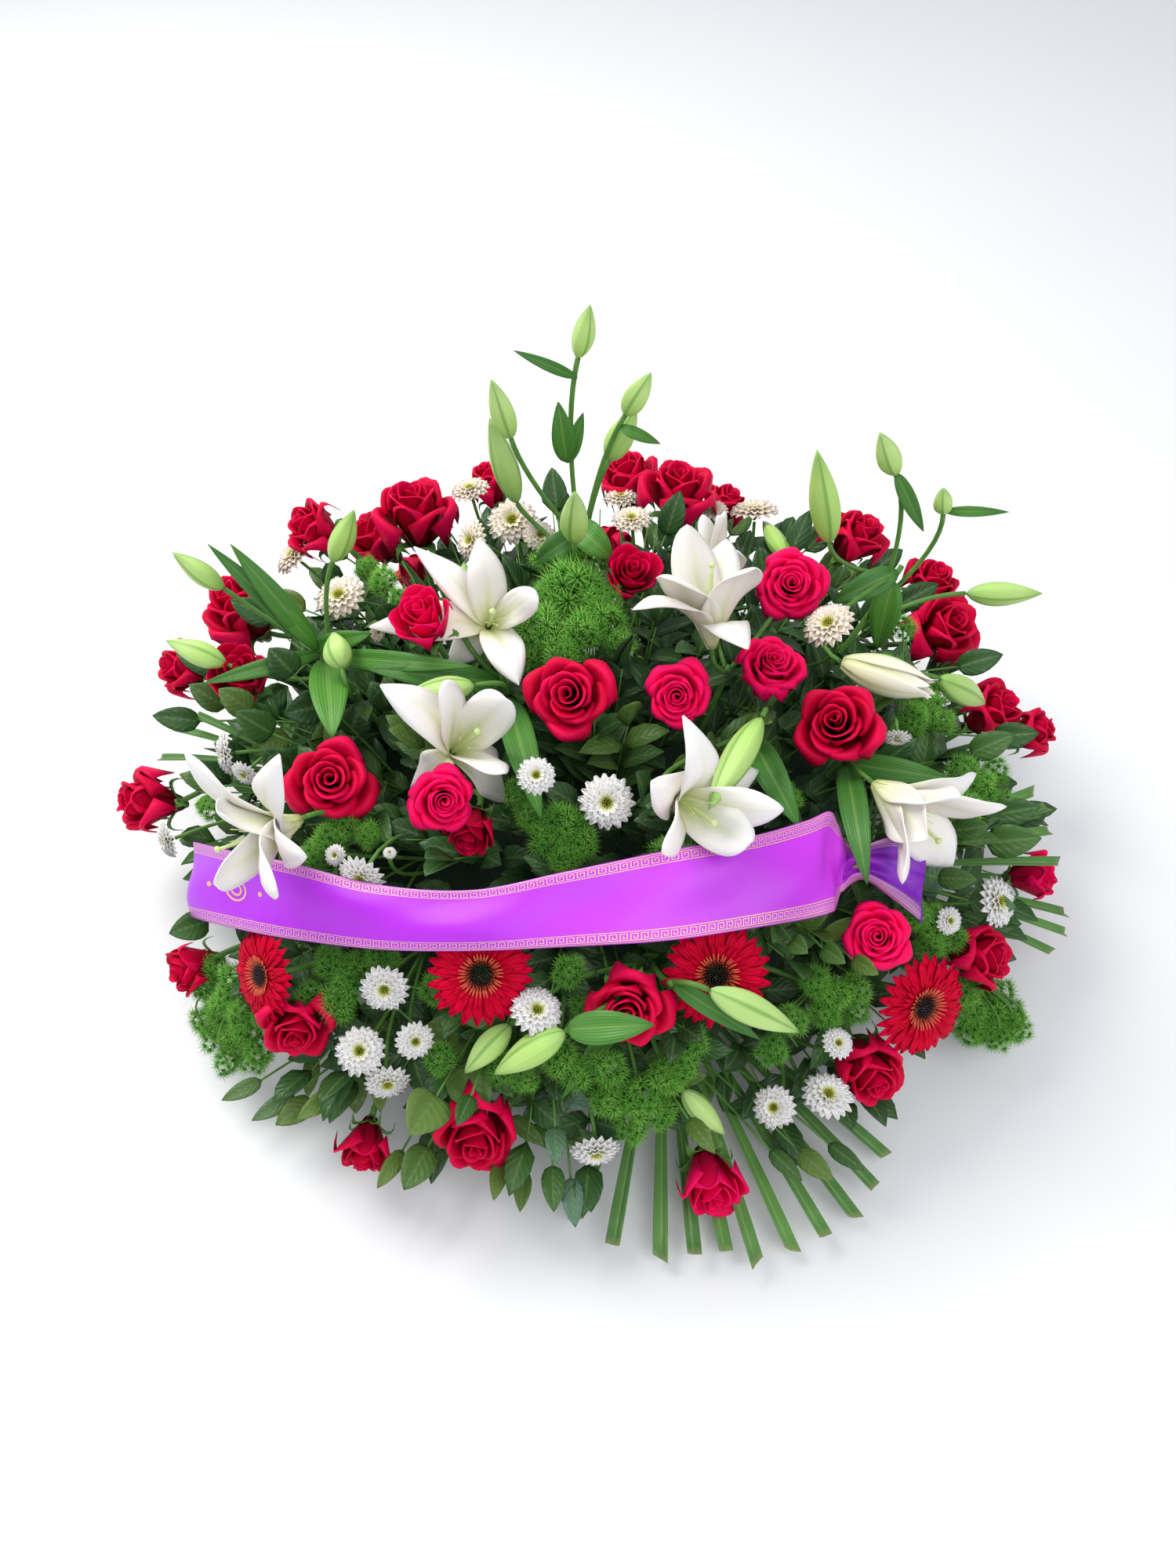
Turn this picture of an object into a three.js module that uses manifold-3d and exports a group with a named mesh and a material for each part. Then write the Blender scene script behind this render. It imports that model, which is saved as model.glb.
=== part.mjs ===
// Funeral pillow arrangement: an oval mound of red roses, white lilies, spray chrysanthemums, gerberas, feathery
// fern, glossy leaves and trimmed palm, stuck into wet floral foam on a low tray, with a purple ribbon across it.
// Millimetres, +Z up, front at -Y, origin on the tray's underside at its middle.
import * as THREE from "three";
import { mergeVertices } from "three/addons/utils/BufferGeometryUtils.js";
import Module from "manifold-3d";

const wasm = await Module();
wasm.setup();

// Driving dimensions
const TRAY = { length: 470, width: 330, height: 26, wall: 4, floor: 4, corner: 70 };
const FOAM = { length: 452, width: 312, top: 104, corner: 66 };
const MOUND = { middle: [0, 5, 40], halfLength: 405, halfWidth: 350, rise: 252, lowest: 52 };
const ROOT = { spreadX: 0.46, spreadY: 0.38, height: 34, stiff: 0.4 };
const RIBBON = { thick: 1.2, pieces: 24 };
const STEM = { rose: 2.7, lily: 3.2, pedicel: 2, daisy: 1.6, gerbera: 2.5, leafy: 1.8, fern: 1.6, palm: 3 };
const GAP = 0.35;

// The setting-out view: each spot below is where a piece shows in a picture of the arrangement, in picture units
// across and down, seen from the front and 50 degrees up.
const VIEW = { distance: 1200, elevation: 50, aim: 100, focal: 1700, middle: [750, 1000] };

const COLOUR = {
  tray: 0x23382a,
  foam: 0x2f6b43,
  wood: 0xb98f5a,
  ribbon: 0xb02be0,
  rose: 0xc4062e,
  gerbera: 0xd81212,
  lily: 0xf4efe2,
  lilyGreen: 0x7fae3f,
  daisy: 0xf6f1e6,
  leaf: 0x3d6b2c,
  fern: 0x3f8a36,
  palm: 0x4f8a37,
};

// Setting out
const { sin, cos, max, min, sqrt, PI } = Math;
const X = new THREE.Vector3(1, 0, 0);
const Y = new THREE.Vector3(0, 1, 0);
const Z = new THREE.Vector3(0, 0, 1);
const radians = THREE.MathUtils.degToRad;
const ahead = new THREE.Vector3(0, cos(radians(VIEW.elevation)), -sin(radians(VIEW.elevation)));
const upward = X.clone().cross(ahead);
const eye = new THREE.Vector3(0, 0, VIEW.aim).addScaledVector(ahead, -VIEW.distance);
const moundMiddle = new THREE.Vector3(...MOUND.middle);
const moundSize = new THREE.Vector3(MOUND.halfLength, MOUND.halfWidth, MOUND.rise);

function sight(across, down) {
  return ahead
    .clone()
    .addScaledVector(X, (across - VIEW.middle[0]) / VIEW.focal)
    .addScaledVector(upward, (VIEW.middle[1] - down) / VIEW.focal)
    .normalize();
}

// Where a spot meets the mound, or passes nearest to it. `back` moves it that far away from the eye.
function mound(across, down, back = 0) {
  const ray = sight(across, down);
  const from = eye.clone().sub(moundMiddle).divide(moundSize);
  const along = ray.clone().divide(moundSize);
  const a = along.dot(along);
  const b = from.dot(along);
  const c = from.dot(from) - 1;
  const point = eye.clone().addScaledVector(ray, (-b - sqrt(max(0, b * b - a * c))) / a + back);
  return point.z < MOUND.lowest ? level(across, down, MOUND.lowest) : point;
}

// Where a spot meets the upright plane at that y.
function upright(across, down, y) {
  const ray = sight(across, down);
  return eye.clone().addScaledVector(ray, (y - eye.y) / ray.y);
}

// Where a spot meets the level plane at that height.
function level(across, down, z) {
  const ray = sight(across, down);
  return eye.clone().addScaledVector(ray, (z - eye.z) / ray.z);
}

// The direction of a head at a point: `lean` degrees off facing the eye, `toward` an angle in the view, 0 to its
// right and 90 up it.
function facing(point, lean, toward) {
  const out = eye.clone().sub(point).normalize();
  const right = X.clone().addScaledVector(out, -X.dot(out)).normalize();
  const up = out.clone().cross(right);
  return out
    .multiplyScalar(cos(radians(lean)))
    .addScaledVector(right, sin(radians(lean)) * cos(radians(toward)))
    .addScaledVector(up, sin(radians(lean)) * sin(radians(toward)));
}

// Solids
function solidOf(geometry) {
  geometry.deleteAttribute("normal");
  geometry.deleteAttribute("uv");
  const merged = mergeVertices(geometry, 1e-3);
  const corners = merged.index.array;
  const kept = [];
  for (let i = 0; i < corners.length; i += 3) {
    const [a, b, c] = corners.subarray(i, i + 3);
    if (a !== b && b !== c && c !== a) kept.push(a, b, c);
  }
  const vertProperties = merged.attributes.position.array;
  return new wasm.Manifold(new wasm.Mesh({ numProp: 3, vertProperties, triVerts: new Uint32Array(kept) }));
}

const joined = (solids) => solids.reduce((whole, solid) => whole.add(solid));

// A piece as it is, and the room it takes with the gap that its neighbours keep.
const piece = (make) => ({ body: make(0), room: make(GAP) });

// A head turned about its own +Y, with its ring points moved by `shape(point, step round, row)`.
function turned(profile, sides, shape = null) {
  const rows = profile.map(([radius, height]) => new THREE.Vector2(radius, height));
  const geometry = new THREE.LatheGeometry(rows, sides);
  const points = geometry.attributes.position;
  const moved = new THREE.Vector3();
  for (let i = 0; shape && i < points.count; i++) {
    const row = i % rows.length;
    const step = Math.floor(i / rows.length) % sides;
    moved.fromBufferAttribute(points, i);
    if (rows[row].x > 0) shape(moved, step, row);
    points.setXYZ(i, moved.x, moved.y, moved.z);
  }
  return geometry;
}

// Stands a head on a point, along an axis.
function stood(geometry, base, axis, spin = 0) {
  const turn = new THREE.Quaternion().setFromUnitVectors(Y, axis);
  turn.multiply(new THREE.Quaternion().setFromAxisAngle(Y, spin));
  geometry.applyQuaternion(turn);
  geometry.translate(base.x, base.y, base.z);
  return solidOf(geometry);
}

// A stem or twig of round section along a curve. What it crosses later gives way to it, as a head does to a stem.
function tube(curve, radius, steps = 2, sides = 4) {
  const made = piece((grow) => {
    const section = new THREE.Shape();
    for (let i = 0; i < sides; i++) {
      const turn = (i / sides) * 2 * PI;
      const r = radius + grow;
      if (i === 0) section.moveTo(r * cos(turn), r * sin(turn));
      else section.lineTo(r * cos(turn), r * sin(turn));
    }
    return solidOf(new THREE.ExtrudeGeometry(section, { steps, extrudePath: curve, bevelEnabled: false }));
  });
  return { ...made, stem: made.room };
}

// A leaf, petal or strip along a curve: a four-sided spindle flattened to a blade whose broad face looks along
// `face`. The outline's rows are [share of the length, share of the half width].
const LEAF = [[0, 0], [0.3, 1], [0.68, 0.8], [1, 0]];
function blade(curve, face, { wide, thick = 1.3, outline = LEAF }) {
  return piece((grow) => {
    const profile = outline.map(([share, half]) => [half, share]);
    const last = outline.length - 1;
    const geometry = turned(profile, 4);
    const points = geometry.attributes.position;
    for (let i = 0; i < points.count; i++) {
      const row = i % outline.length;
      const step = Math.floor(i / outline.length) % 4;
      const [share, half] = outline[row];
      const along = curve.getTangent(share);
      const side = along.clone().cross(face).normalize();
      const out = side.clone().cross(along);
      const middle = curve.getPoint(share);
      const inner = row === 0 ? 1 : last - 1;
      const outward = middle.clone().sub(curve.getPoint(outline[inner][0])).normalize();
      if (row === 0) middle.addScaledVector(outward, grow * 2);
      else if (row === last) middle.addScaledVector(outward, grow * 3);
      else if (step % 2) middle.addScaledVector(side, (2 - step) * ((half * wide) / 2 + grow * 2));
      else middle.addScaledVector(out, (1 - step) * (thick / 2 + grow));
      points.setXYZ(i, middle.x, middle.y, middle.z);
    }
    return solidOf(geometry);
  });
}

// A curve from a point to a point that bows out by `bow` along a direction.
function bowed(from, to, bow, direction) {
  const middle = from.clone().lerp(to, 0.5).addScaledVector(direction, bow * 2);
  return new THREE.QuadraticBezierCurve3(from, middle, to);
}

// One closed solid from rings along a line. Each ring has its own number of corners, and `radius` gives a corner's
// reach; the first ring and the last are points.
function grown(rings, sides, across) {
  const rows = rings.map((ring, i) => new THREE.Vector2(i % (rings.length - 1) ? 1 : 0, i));
  const geometry = new THREE.LatheGeometry(rows, sides);
  const points = geometry.attributes.position;
  for (let i = 0; i < points.count; i++) {
    const { middle, axis, radius = 0, corners = sides, zigzag = [1, 1] } = rings[i % rings.length];
    const corner = Math.floor(((Math.floor(i / rings.length) % sides) * corners) / sides);
    const turn = (corner / corners) * 2 * PI;
    const reach = rows[i % rings.length].x * radius * zigzag[corner % 2];
    const first = across.clone().addScaledVector(axis, -across.dot(axis)).normalize();
    const second = axis.clone().cross(first);
    const point = middle
      .clone()
      .addScaledVector(first, reach * cos(turn))
      .addScaledVector(second, reach * sin(turn));
    points.setXYZ(i, point.x, point.y, point.z);
  }
  return solidOf(geometry);
}

// The line of a stem from its root to a head, which it meets along the head's own axis.
function stemLine(root, end, axis) {
  const pull = end.distanceTo(root) * ROOT.stiff;
  const bend = end.clone().addScaledVector(axis, -pull);
  bend.z = max(bend.z, root.z + 6);
  return new THREE.QuadraticBezierCurve3(root, bend, end);
}

// A stem that ends in a head. The head's rows are [radius, height, corners, zigzag] in half widths from `at`.
function headed(line, at, axis, half, { stem, corners = 3, steps, head, room, sides, spin = 0, start = 1 }) {
  const across = axis.clone().cross(Z).normalize().applyAxisAngle(axis, spin);
  const make = (rows, grow) => {
    const rings = [{ middle: line.getPoint(0), axis: line.getTangent(0) }];
    for (const share of steps) {
      const radius = stem * (share ? 1 : start) + grow;
      rings.push({ middle: line.getPoint(share), axis: line.getTangent(share), radius, corners });
    }
    const neck = at.clone().addScaledVector(axis, rows[0][1] * half);
    rings.push({ middle: neck, axis, radius: stem + grow, corners });
    for (const [reach, height, count, zigzag] of rows.slice(1)) {
      const middle = at.clone().addScaledVector(axis, height * half + (height > 0 ? grow : -grow));
      rings.push({ middle, axis, radius: reach * half + grow, corners: count, zigzag });
    }
    return grown(rings, sides, across);
  };
  return { body: make(head, 0), room: make(room, GAP), stem: make([room[0], [0, room[0][1]]], GAP) };
}

// The root of a bunch: below the middle of its heads, drawn in to the foam.
function rootOf(points, nudge) {
  const middle = points.reduce((sum, p) => sum.add(p), new THREE.Vector3()).divideScalar(points.length);
  const root = new THREE.Vector3(middle.x * ROOT.spreadX, middle.y * ROOT.spreadY, ROOT.height);
  return root.add(nudge);
}

// The nodes. A node gives way to those made before it, but its stems run on through their heads, which get a channel
// for them; a bunch's root moves a little until its stems cross no other stem.
const arrangement = new THREE.Group();
const nodes = [];
const NUDGES = [[0, 0], [10, 0], [-10, 0], [0, 10], [0, -10], [18, 12], [-18, 12], [18, -12], [-18, -12], [32, 0], [-32, 0]];

const apart = (a, b) => a.max.some((v, k) => v < b.min[k]) || b.max.some((v, k) => v < a.min[k]);

// The largest body that a solid falls into, and the volume of the rest.
function largest(solid) {
  const bodies = solid.decompose().sort((a, b) => b.volume() - a.volume());
  return { body: bodies[0], lost: bodies.slice(1).reduce((sum, scrap) => sum + scrap.volume(), 0) };
}

function fitted(parts) {
  const whole = joined(parts.map((part) => part.body));
  const room = joined(parts.map((part) => part.room));
  const stems = parts.filter((part) => part.stem).map((part) => part.stem);
  const stem = stems.length ? joined(stems) : null;
  let solid = whole;
  let lost = 0;
  const channels = [];
  for (const other of nodes) {
    if (apart(whole.boundingBox(), other.box)) continue;
    solid = solid.subtract(stem ? other.room.subtract(stem) : other.room);
    if (!stem || apart(stem.boundingBox(), other.box)) continue;
    const cut = other.solid.subtract(stem);
    if (other.solid.volume() - cut.volume() < 0.01) continue;
    const kept = largest(cut);
    lost += kept.lost;
    channels.push([other, kept.body]);
  }
  const kept = largest(solid);
  const box = room.boundingBox();
  return { solid: kept.body, room, box, channels, lost: lost + kept.lost };
}

function settle(name, colour, build, home = arrangement, { roughness = 0.6, metalness = 0 } = {}) {
  let best = null;
  for (const [x, y] of NUDGES) {
    const now = fitted(build(new THREE.Vector3(x, y, 0)));
    if (!best || now.lost < best.lost - 1) best = now;
    if (best.lost < 5) break;
  }
  for (const [other, solid] of best.channels) other.solid = solid;
  nodes.push({ name, colour, home, roughness, metalness, ...best });
}

// A bunch's stems part from its first one just above the foam.
function forkOf(trunk, steps, i) {
  const low = trunk.getPoint(0);
  const high = trunk.getPoint(steps[1]);
  const clear = (FOAM.top + 3 + 5 * i - low.z) / (high.z - low.z);
  return low.lerp(high, min(clear, 0.97));
}

function bunch(root, heads, form) {
  let trunk = null;
  return heads.map(({ at, wide, lean, toward }, i) => {
    const axis = facing(at, lean, toward);
    const end = at.clone().addScaledVector(axis, (form.head[0][1] * wide) / 2);
    const from = trunk ? forkOf(trunk, form.steps, i) : root;
    const line = stemLine(from, end, axis);
    const bow = line.getPoint(0.5).distanceTo(from.clone().lerp(end, 0.5));
    const steps = trunk && bow < 12 ? [0] : form.steps;
    const branch = trunk ? { stem: form.stem * 0.86, start: 0.55 } : {};
    trunk ??= line;
    return headed(line, at, axis, wide / 2, { ...form, ...(wide < 28 && form.small), ...branch, steps, spin: i });
  });
}

// Roses: a cup of outer petals round two rings of inner ones, in relief
const ROSE = {
  stem: STEM.rose,
  steps: [0, 0.5],
  sides: 8,
  head: [
    [0, -0.92],
    [0.58, -0.66, 8, [1, 0.9]],
    [1, 0.24, 8, [1, 0.84]],
    [0.66, 0.12, 8, [0.84, 1]],
    [0, 0.58, 8],
  ],
  room: [[0, -0.92], [0.72, -0.74, 8], [1.05, 0.2, 8], [1, 0.36, 8], [0.58, 0.6, 8], [0, 0.62, 8]],
};
const rose = (across, down, wide, lean, toward, back = 0) => ({ at: mound(across, down, back), wide, lean, toward });
const behind = (x, y, z, wide, lean, toward) => ({ at: new THREE.Vector3(x, y, z), wide, lean, toward });

const roseGroup = new THREE.Group();
arrangement.add(roseGroup);
const ROSES = {
  roses_centre: [rose(728, 887, 70, 10, 150), rose(864, 886, 54, 6, 270), rose(808, 733, 50, 25, 80)],
  roses_centre_right: [rose(1010, 750, 62, 12, 45), rose(988, 853, 50, 38, 60, 8), rose(1068, 928, 68, 14, 120)],
  roses_centre_left: [rose(420, 995, 70, 10, 120), rose(562, 1017, 48, 8, 300), rose(600, 1062, 48, 50, 250, 45)],
  roses_back_left: [rose(530, 655, 70, 62, 115), rose(478, 690, 58, 70, 150, 60), rose(630, 622, 50, 75, 95, 64)],
  roses_upper_left: [rose(400, 675, 52, 75, 160), rose(300, 780, 64, 65, 130), rose(542, 792, 47, 50, 150)],
  roses_left: [rose(230, 860, 48, 80, 190), rose(308, 864, 54, 30, 120, -10), rose(182, 1022, 56, 82, 195)],
  roses_back_right: [rose(805, 610, 58, 70, 110, 55), rose(875, 625, 60, 58, 82), rose(928, 650, 46, 75, 60, 60)],
  roses_upper_right: [rose(1095, 683, 54, 65, 40), rose(1186, 740, 52, 60, 60, 55), rose(1215, 805, 66, 45, 20)],
  roses_far_right: [rose(1275, 908, 52, 70, 25), rose(1327, 932, 44, 78, 10, 30)],
  roses_right: [rose(1322, 1120, 44, 85, 355), rose(1258, 1220, 50, 70, 350), rose(1120, 1197, 50, 8, 90)],
  roses_front_left: [rose(607, 1447, 56, 60, 275), rose(465, 1470, 38, 85, 255)],
  roses_lower_left: [rose(378, 1312, 50, 45, 265), rose(242, 1242, 38, 85, 215)],
  roses_front: [rose(800, 1280, 60, 28, 260), rose(912, 1516, 48, 72, 300, -14), rose(1103, 1368, 54, 65, 300, 8)],
  roses_behind: [behind(20, 336, 96, 56, 128, 95), behind(-180, 296, 92, 54, 132, 110), behind(215, 288, 90, 54, 130, 75)],
};
for (const [name, heads] of Object.entries(ROSES)) {
  const points = heads.map((head) => head.at);
  settle(name, COLOUR.rose, (nudge) => bunch(rootOf(points, nudge), heads, ROSE), roseGroup);
}

// Gerberas: long thin rays round a ring of florets and a sunk eye
const GERBERA = {
  stem: STEM.gerbera,
  steps: [0, 0.5],
  sides: 24,
  head: [
    [0, -0.26],
    [0.26, -0.14, 6],
    [1, 0.02, 24, [1, 0.7]],
    [0.36, 0.12, 12, [1, 0.84]],
    [0.2, 0.2, 6],
    [0, 0.06, 6],
  ],
  room: [[0, -0.28], [0.34, -0.2, 12], [1.04, -0.06, 12], [1.04, 0.1, 12], [0.4, 0.26, 12], [0, 0.26, 12]],
};
const gerberaGroup = new THREE.Group();
arrangement.add(gerberaGroup);
const GERBERAS = {
  gerbera_left: { at: mound(338, 1245, -8), wide: 70, lean: 62, toward: 190 },
  gerbera_middle: { at: mound(608, 1240), wide: 76, lean: 12, toward: 270 },
  gerbera_right: { at: mound(915, 1244, 8), wide: 78, lean: 14, toward: 300 },
  gerbera_far_right: { at: mound(1176, 1282, -6), wide: 76, lean: 48, toward: 330 },
};
for (const [name, head] of Object.entries(GERBERAS)) {
  settle(name, COLOUR.gerbera, (nudge) => bunch(rootOf([head.at], nudge), [head], GERBERA), gerberaGroup);
}

// Lilies: white trumpets of six petals, each held by a green stem with buds and long leaves
const PETAL = [[0, 0], [0.4, 0.8], [0.72, 0.95], [1, 0]];
const PETALS = 6;

// One petal's line: up out of the throat and curling away from the axis.
function petalLine(base, axis, outward, reach, open) {
  const flare = radians(open);
  const bend = base.clone().addScaledVector(axis, reach * 0.5).addScaledVector(outward, reach * 0.16);
  const tip = base
    .clone()
    .addScaledVector(axis, reach * cos(flare))
    .addScaledVector(outward, reach * sin(flare));
  return new THREE.QuadraticBezierCurve3(base, bend, tip);
}

function lilyBloom({ at, lean, toward, reach = 92, open = 58, petal = 29 }) {
  const axis = facing(at, lean, toward);
  const side = axis.clone().cross(Z).normalize();
  const parts = [];
  for (let i = 0; i < PETALS; i++) {
    const outward = side.clone().applyAxisAngle(axis, (i / PETALS) * 2 * PI);
    const line = petalLine(at, axis, outward, reach, open);
    parts.push(blade(line, outward, { wide: i % 2 ? petal : petal * 0.74, thick: 1.8, outline: PETAL }));
  }
  const pistil = tube(new THREE.LineCurve3(at, at.clone().addScaledVector(axis, reach * 0.72)), 1.5, 1, 3);
  parts.push({ body: pistil.body, room: pistil.room });
  return parts;
}

const lilyGroup = new THREE.Group();
arrangement.add(lilyGroup);
const BLOOMS = {
  upper_left: { at: mound(625, 806, 22), lean: 18, toward: 60, open: 70 },
  left: { at: mound(572, 975, 18), lean: 30, toward: 60, open: 62 },
  upper_right: { at: mound(910, 822, 12), lean: 66, toward: 96, open: 42 },
  behind_right: { at: mound(912, 757, 62), lean: 62, toward: 75, reach: 80, open: 50 },
  over_ribbon: { at: mound(848, 1012, -6), lean: 58, toward: 332, open: 48 },
  far_left: { at: mound(384, 1044, -26), lean: 62, toward: 203, open: 46 },
  far_right: { at: mound(1117, 1000, -4), lean: 66, toward: 330, open: 36 },
};
for (const [spot, bloom] of Object.entries(BLOOMS)) {
  settle(`lily_${spot}`, COLOUR.lily, () => lilyBloom(bloom), lilyGroup);
}
const OPENING = { at: mound(1075, 845, 4), lean: 78, toward: 343 };
settle("lily_opening", COLOUR.lily, () => {
  const axis = facing(OPENING.at, OPENING.lean, OPENING.toward);
  const form = [[9, 8, 6], [12, 30, 6], [14, 52, 12, [0.8, 1.15]], [11, 72, 12, [0.55, 1.3]], [0, 44, 6]];
  const envelope = [[10, 7, 6], [14, 30, 6], [17.5, 52, 6], [17, 73, 6], [0, 73.5, 6]];
  const across = axis.clone().cross(Z).normalize();
  return [
    piece((grow) => {
      const rings = (grow ? envelope : form).map(([reach, height, corners, zigzag]) => ({
        middle: OPENING.at.clone().addScaledVector(axis, height), axis, radius: reach + grow, corners, zigzag,
      }));
      rings.unshift({ middle: OPENING.at.clone().addScaledVector(axis, -grow), axis });
      return grown(rings, 12, across);
    }),
  ];
}, lilyGroup);

const BUD = {
  sides: 6,
  head: [[0, 0], [0.72, 0.36, 6], [1, 0.8, 6], [0.7, 1.5, 6], [0, 2, 6]],
  room: [[0, 0], [0.78, 0.36, 6], [1.06, 0.8, 6], [0.8, 1.5, 6], [0, 2.06, 6]],
};

// A bud on its twig. A bud's rows are set in half widths, so its heights are scaled to its own length.
function budded(from, base, tip, wide) {
  const axis = tip.clone().sub(base);
  const stretch = axis.length() / wide;
  axis.normalize();
  const scaled = (rows) => rows.map(([reach, height, ...rest]) => [reach, height * stretch, ...rest]);
  const form = { stem: STEM.pedicel, start: 0.55, steps: [0], sides: 6, head: scaled(BUD.head), room: scaled(BUD.room) };
  return headed(stemLine(from, base, axis), base, axis, wide / 2, form);
}

// A point of a stem made in that many straight lengths
function onStem(line, lengths, share) {
  const joints = line.getSpacedPoints(lengths);
  const k = min(Math.floor(share * lengths), lengths - 1);
  return joints[k].clone().lerp(joints[k + 1], share * lengths - k);
}

// A lily's green stem from the foam up to its crown, with the necks under its blooms, its buds and its leaves.
// Buds and leaves leave the stem at a share of its height.
function lilyStem(name, { crown, blooms = [], buds = [], leaves = [] }, rise = 0.7) {
  settle(name, COLOUR.lilyGreen, (nudge) => {
    const root = rootOf([crown], nudge);
    const up = Z.clone().lerp(crown.clone().sub(root).normalize(), rise).normalize();
    const line = stemLine(root, crown, up);
    const parts = [tube(line, STEM.lily, 3)];
    for (const spot of blooms) {
      const { at, lean, toward } = BLOOMS[spot] ?? OPENING;
      const axis = facing(at, lean, toward);
      parts.push(tube(stemLine(onStem(line, 3, 0.97), at.clone().addScaledVector(axis, -0.8), axis), STEM.pedicel));
    }
    buds.forEach(([base, tip, wide, share = 0.96], i) => parts.push(budded(onStem(line, 3, share - 0.07 * i), base, tip, wide)));
    leaves.forEach(([from, tip, wide, bow = 12], i) => {
      const start = typeof from === "number" ? onStem(line, 3, from) : from;
      const toEye = eye.clone().sub(tip).normalize();
      parts.push(blade(bowed(start, tip, bow, toEye), toEye, { wide, outline: LEAF }));
    });
    return parts;
  }, lilyGroup);
}

const top = (across, down, behind = 0) => upright(across, down, 112 + behind);
lilyStem("lily_stem_top", {
  crown: top(735, 640),
  buds: [
    [top(737, 457), top(753, 388, -6), 18],
    [top(652, 560), top(626, 483, -8), 21],
    [top(660, 643, 38), top(624, 532, 38), 25],
    [top(797, 530), top(831, 475, -6), 20],
    [top(776, 588, 24), top(812, 520, 24), 24],
    [top(733, 692, -40), top(733, 626, -62), 24, 0.9],
  ],
  leaves: [
    [top(736.6, 482), top(655, 447), 9, 8],
    [0.97, top(718, 517, -8), 17, 6],
    [0.99, top(852, 568, 4), 12, 14],
    [0.93, top(780, 712, -30), 25, 22],
    [0.9, top(684, 716, -20), 22, 14],
  ],
});

const right = (across, down, behind = 0) => upright(across, down, 108 + behind);
lilyStem("lily_stem_right", {
  crown: right(1150, 722),
  blooms: ["opening"],
  buds: [
    [right(1058, 694, -6), right(1042, 573, -10), 27],
    [right(1143, 606), right(1122, 551, -4), 21],
    [right(1203, 655), right(1203, 622, -4), 17],
    [right(1231, 757, 8), right(1330, 757, 10), 23],
    [mound(1198, 866, -16), mound(1257, 898, 10), 26, 0.8],
  ],
  leaves: [
    [0.98, right(1062, 768, -12), 24, 10],
    [right(1143, 603), right(1178, 678, 2), 13, 12],
    [right(1203, 652), right(1287, 653, 4), 9, 8],
    [0.95, right(1118, 828, -16), 26, 10],
  ],
});

lilyStem("lily_stem_left", {
  crown: mound(402, 822, 6),
  buds: [
    [upright(287, 752, 60), upright(219, 704, 66), 20],
    [upright(424, 717, 56), upright(452, 650, 52), 21],
    [upright(290, 848, 10), upright(211, 817, 22), 22],
    [mound(436, 853, -8), mound(425, 806, -26), 25],
  ],
  leaves: [
    [0.98, upright(265, 694, 54), 17, 10],
    [0.96, upright(258, 872, -6), 15, 22],
    [0.99, mound(474, 808, -14), 17, 10],
    [0.93, mound(424, 942, -4), 31, 16],
    [0.9, mound(560, 838, -6), 15, 14],
  ],
});

lilyStem("lily_stem_middle", {
  crown: mound(640, 862, 44),
  blooms: ["upper_left", "left"],
  buds: [
    [mound(590, 800, 4), mound(592, 716, -18), 20],
    [mound(607, 874, -8), mound(509, 892, -14), 24],
  ],
  leaves: [
    [0.96, mound(468, 853, -4), 22, 18],
    [0.9, mound(690, 1044, -6), 25, 26],
  ],
});

lilyStem("lily_stem_upper_right", {
  crown: mound(930, 850, 46),
  blooms: ["upper_right", "behind_right"],
  buds: [[mound(1004, 712, 40), mound(973, 664, 40), 20]],
});

lilyStem("lily_stem_front", {
  crown: mound(960, 930, 40),
  blooms: ["over_ribbon"],
  buds: [[mound(972, 914, -20), mound(903, 1034, -34), 25]],
  leaves: [[0.97, mound(1020, 1056, -10), 24, 14]],
});

lilyStem("lily_stem_far_left", { crown: mound(440, 1046, 60), blooms: ["far_left"] });

lilyStem("lily_stem_far_right", {
  crown: mound(1085, 965, 44),
  blooms: ["far_right"],
  leaves: [
    [0.97, mound(1106, 1128, -14), 22, 26],
    [0.95, mound(1214, 994, -8), 22, 14],
  ],
});

lilyStem("lily_stem_low", {
  crown: mound(856, 1254, 0),
  buds: [
    [mound(903, 1262, -24), mound(1020, 1317, -20), 25],
    [mound(722, 1315, -12), mound(629, 1371, -8), 25, 0.74],
    [mound(652, 1306, 18), mound(592, 1370, 4), 22, 0.7],
    [mound(870, 1390, 20), mound(925, 1448, 4), 20, 0.6],
  ],
  leaves: [
    [0.98, mound(970, 1326, 0), 14, 14],
    [0.62, mound(716, 1402, 4), 18, 10],
  ],
});

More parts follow.
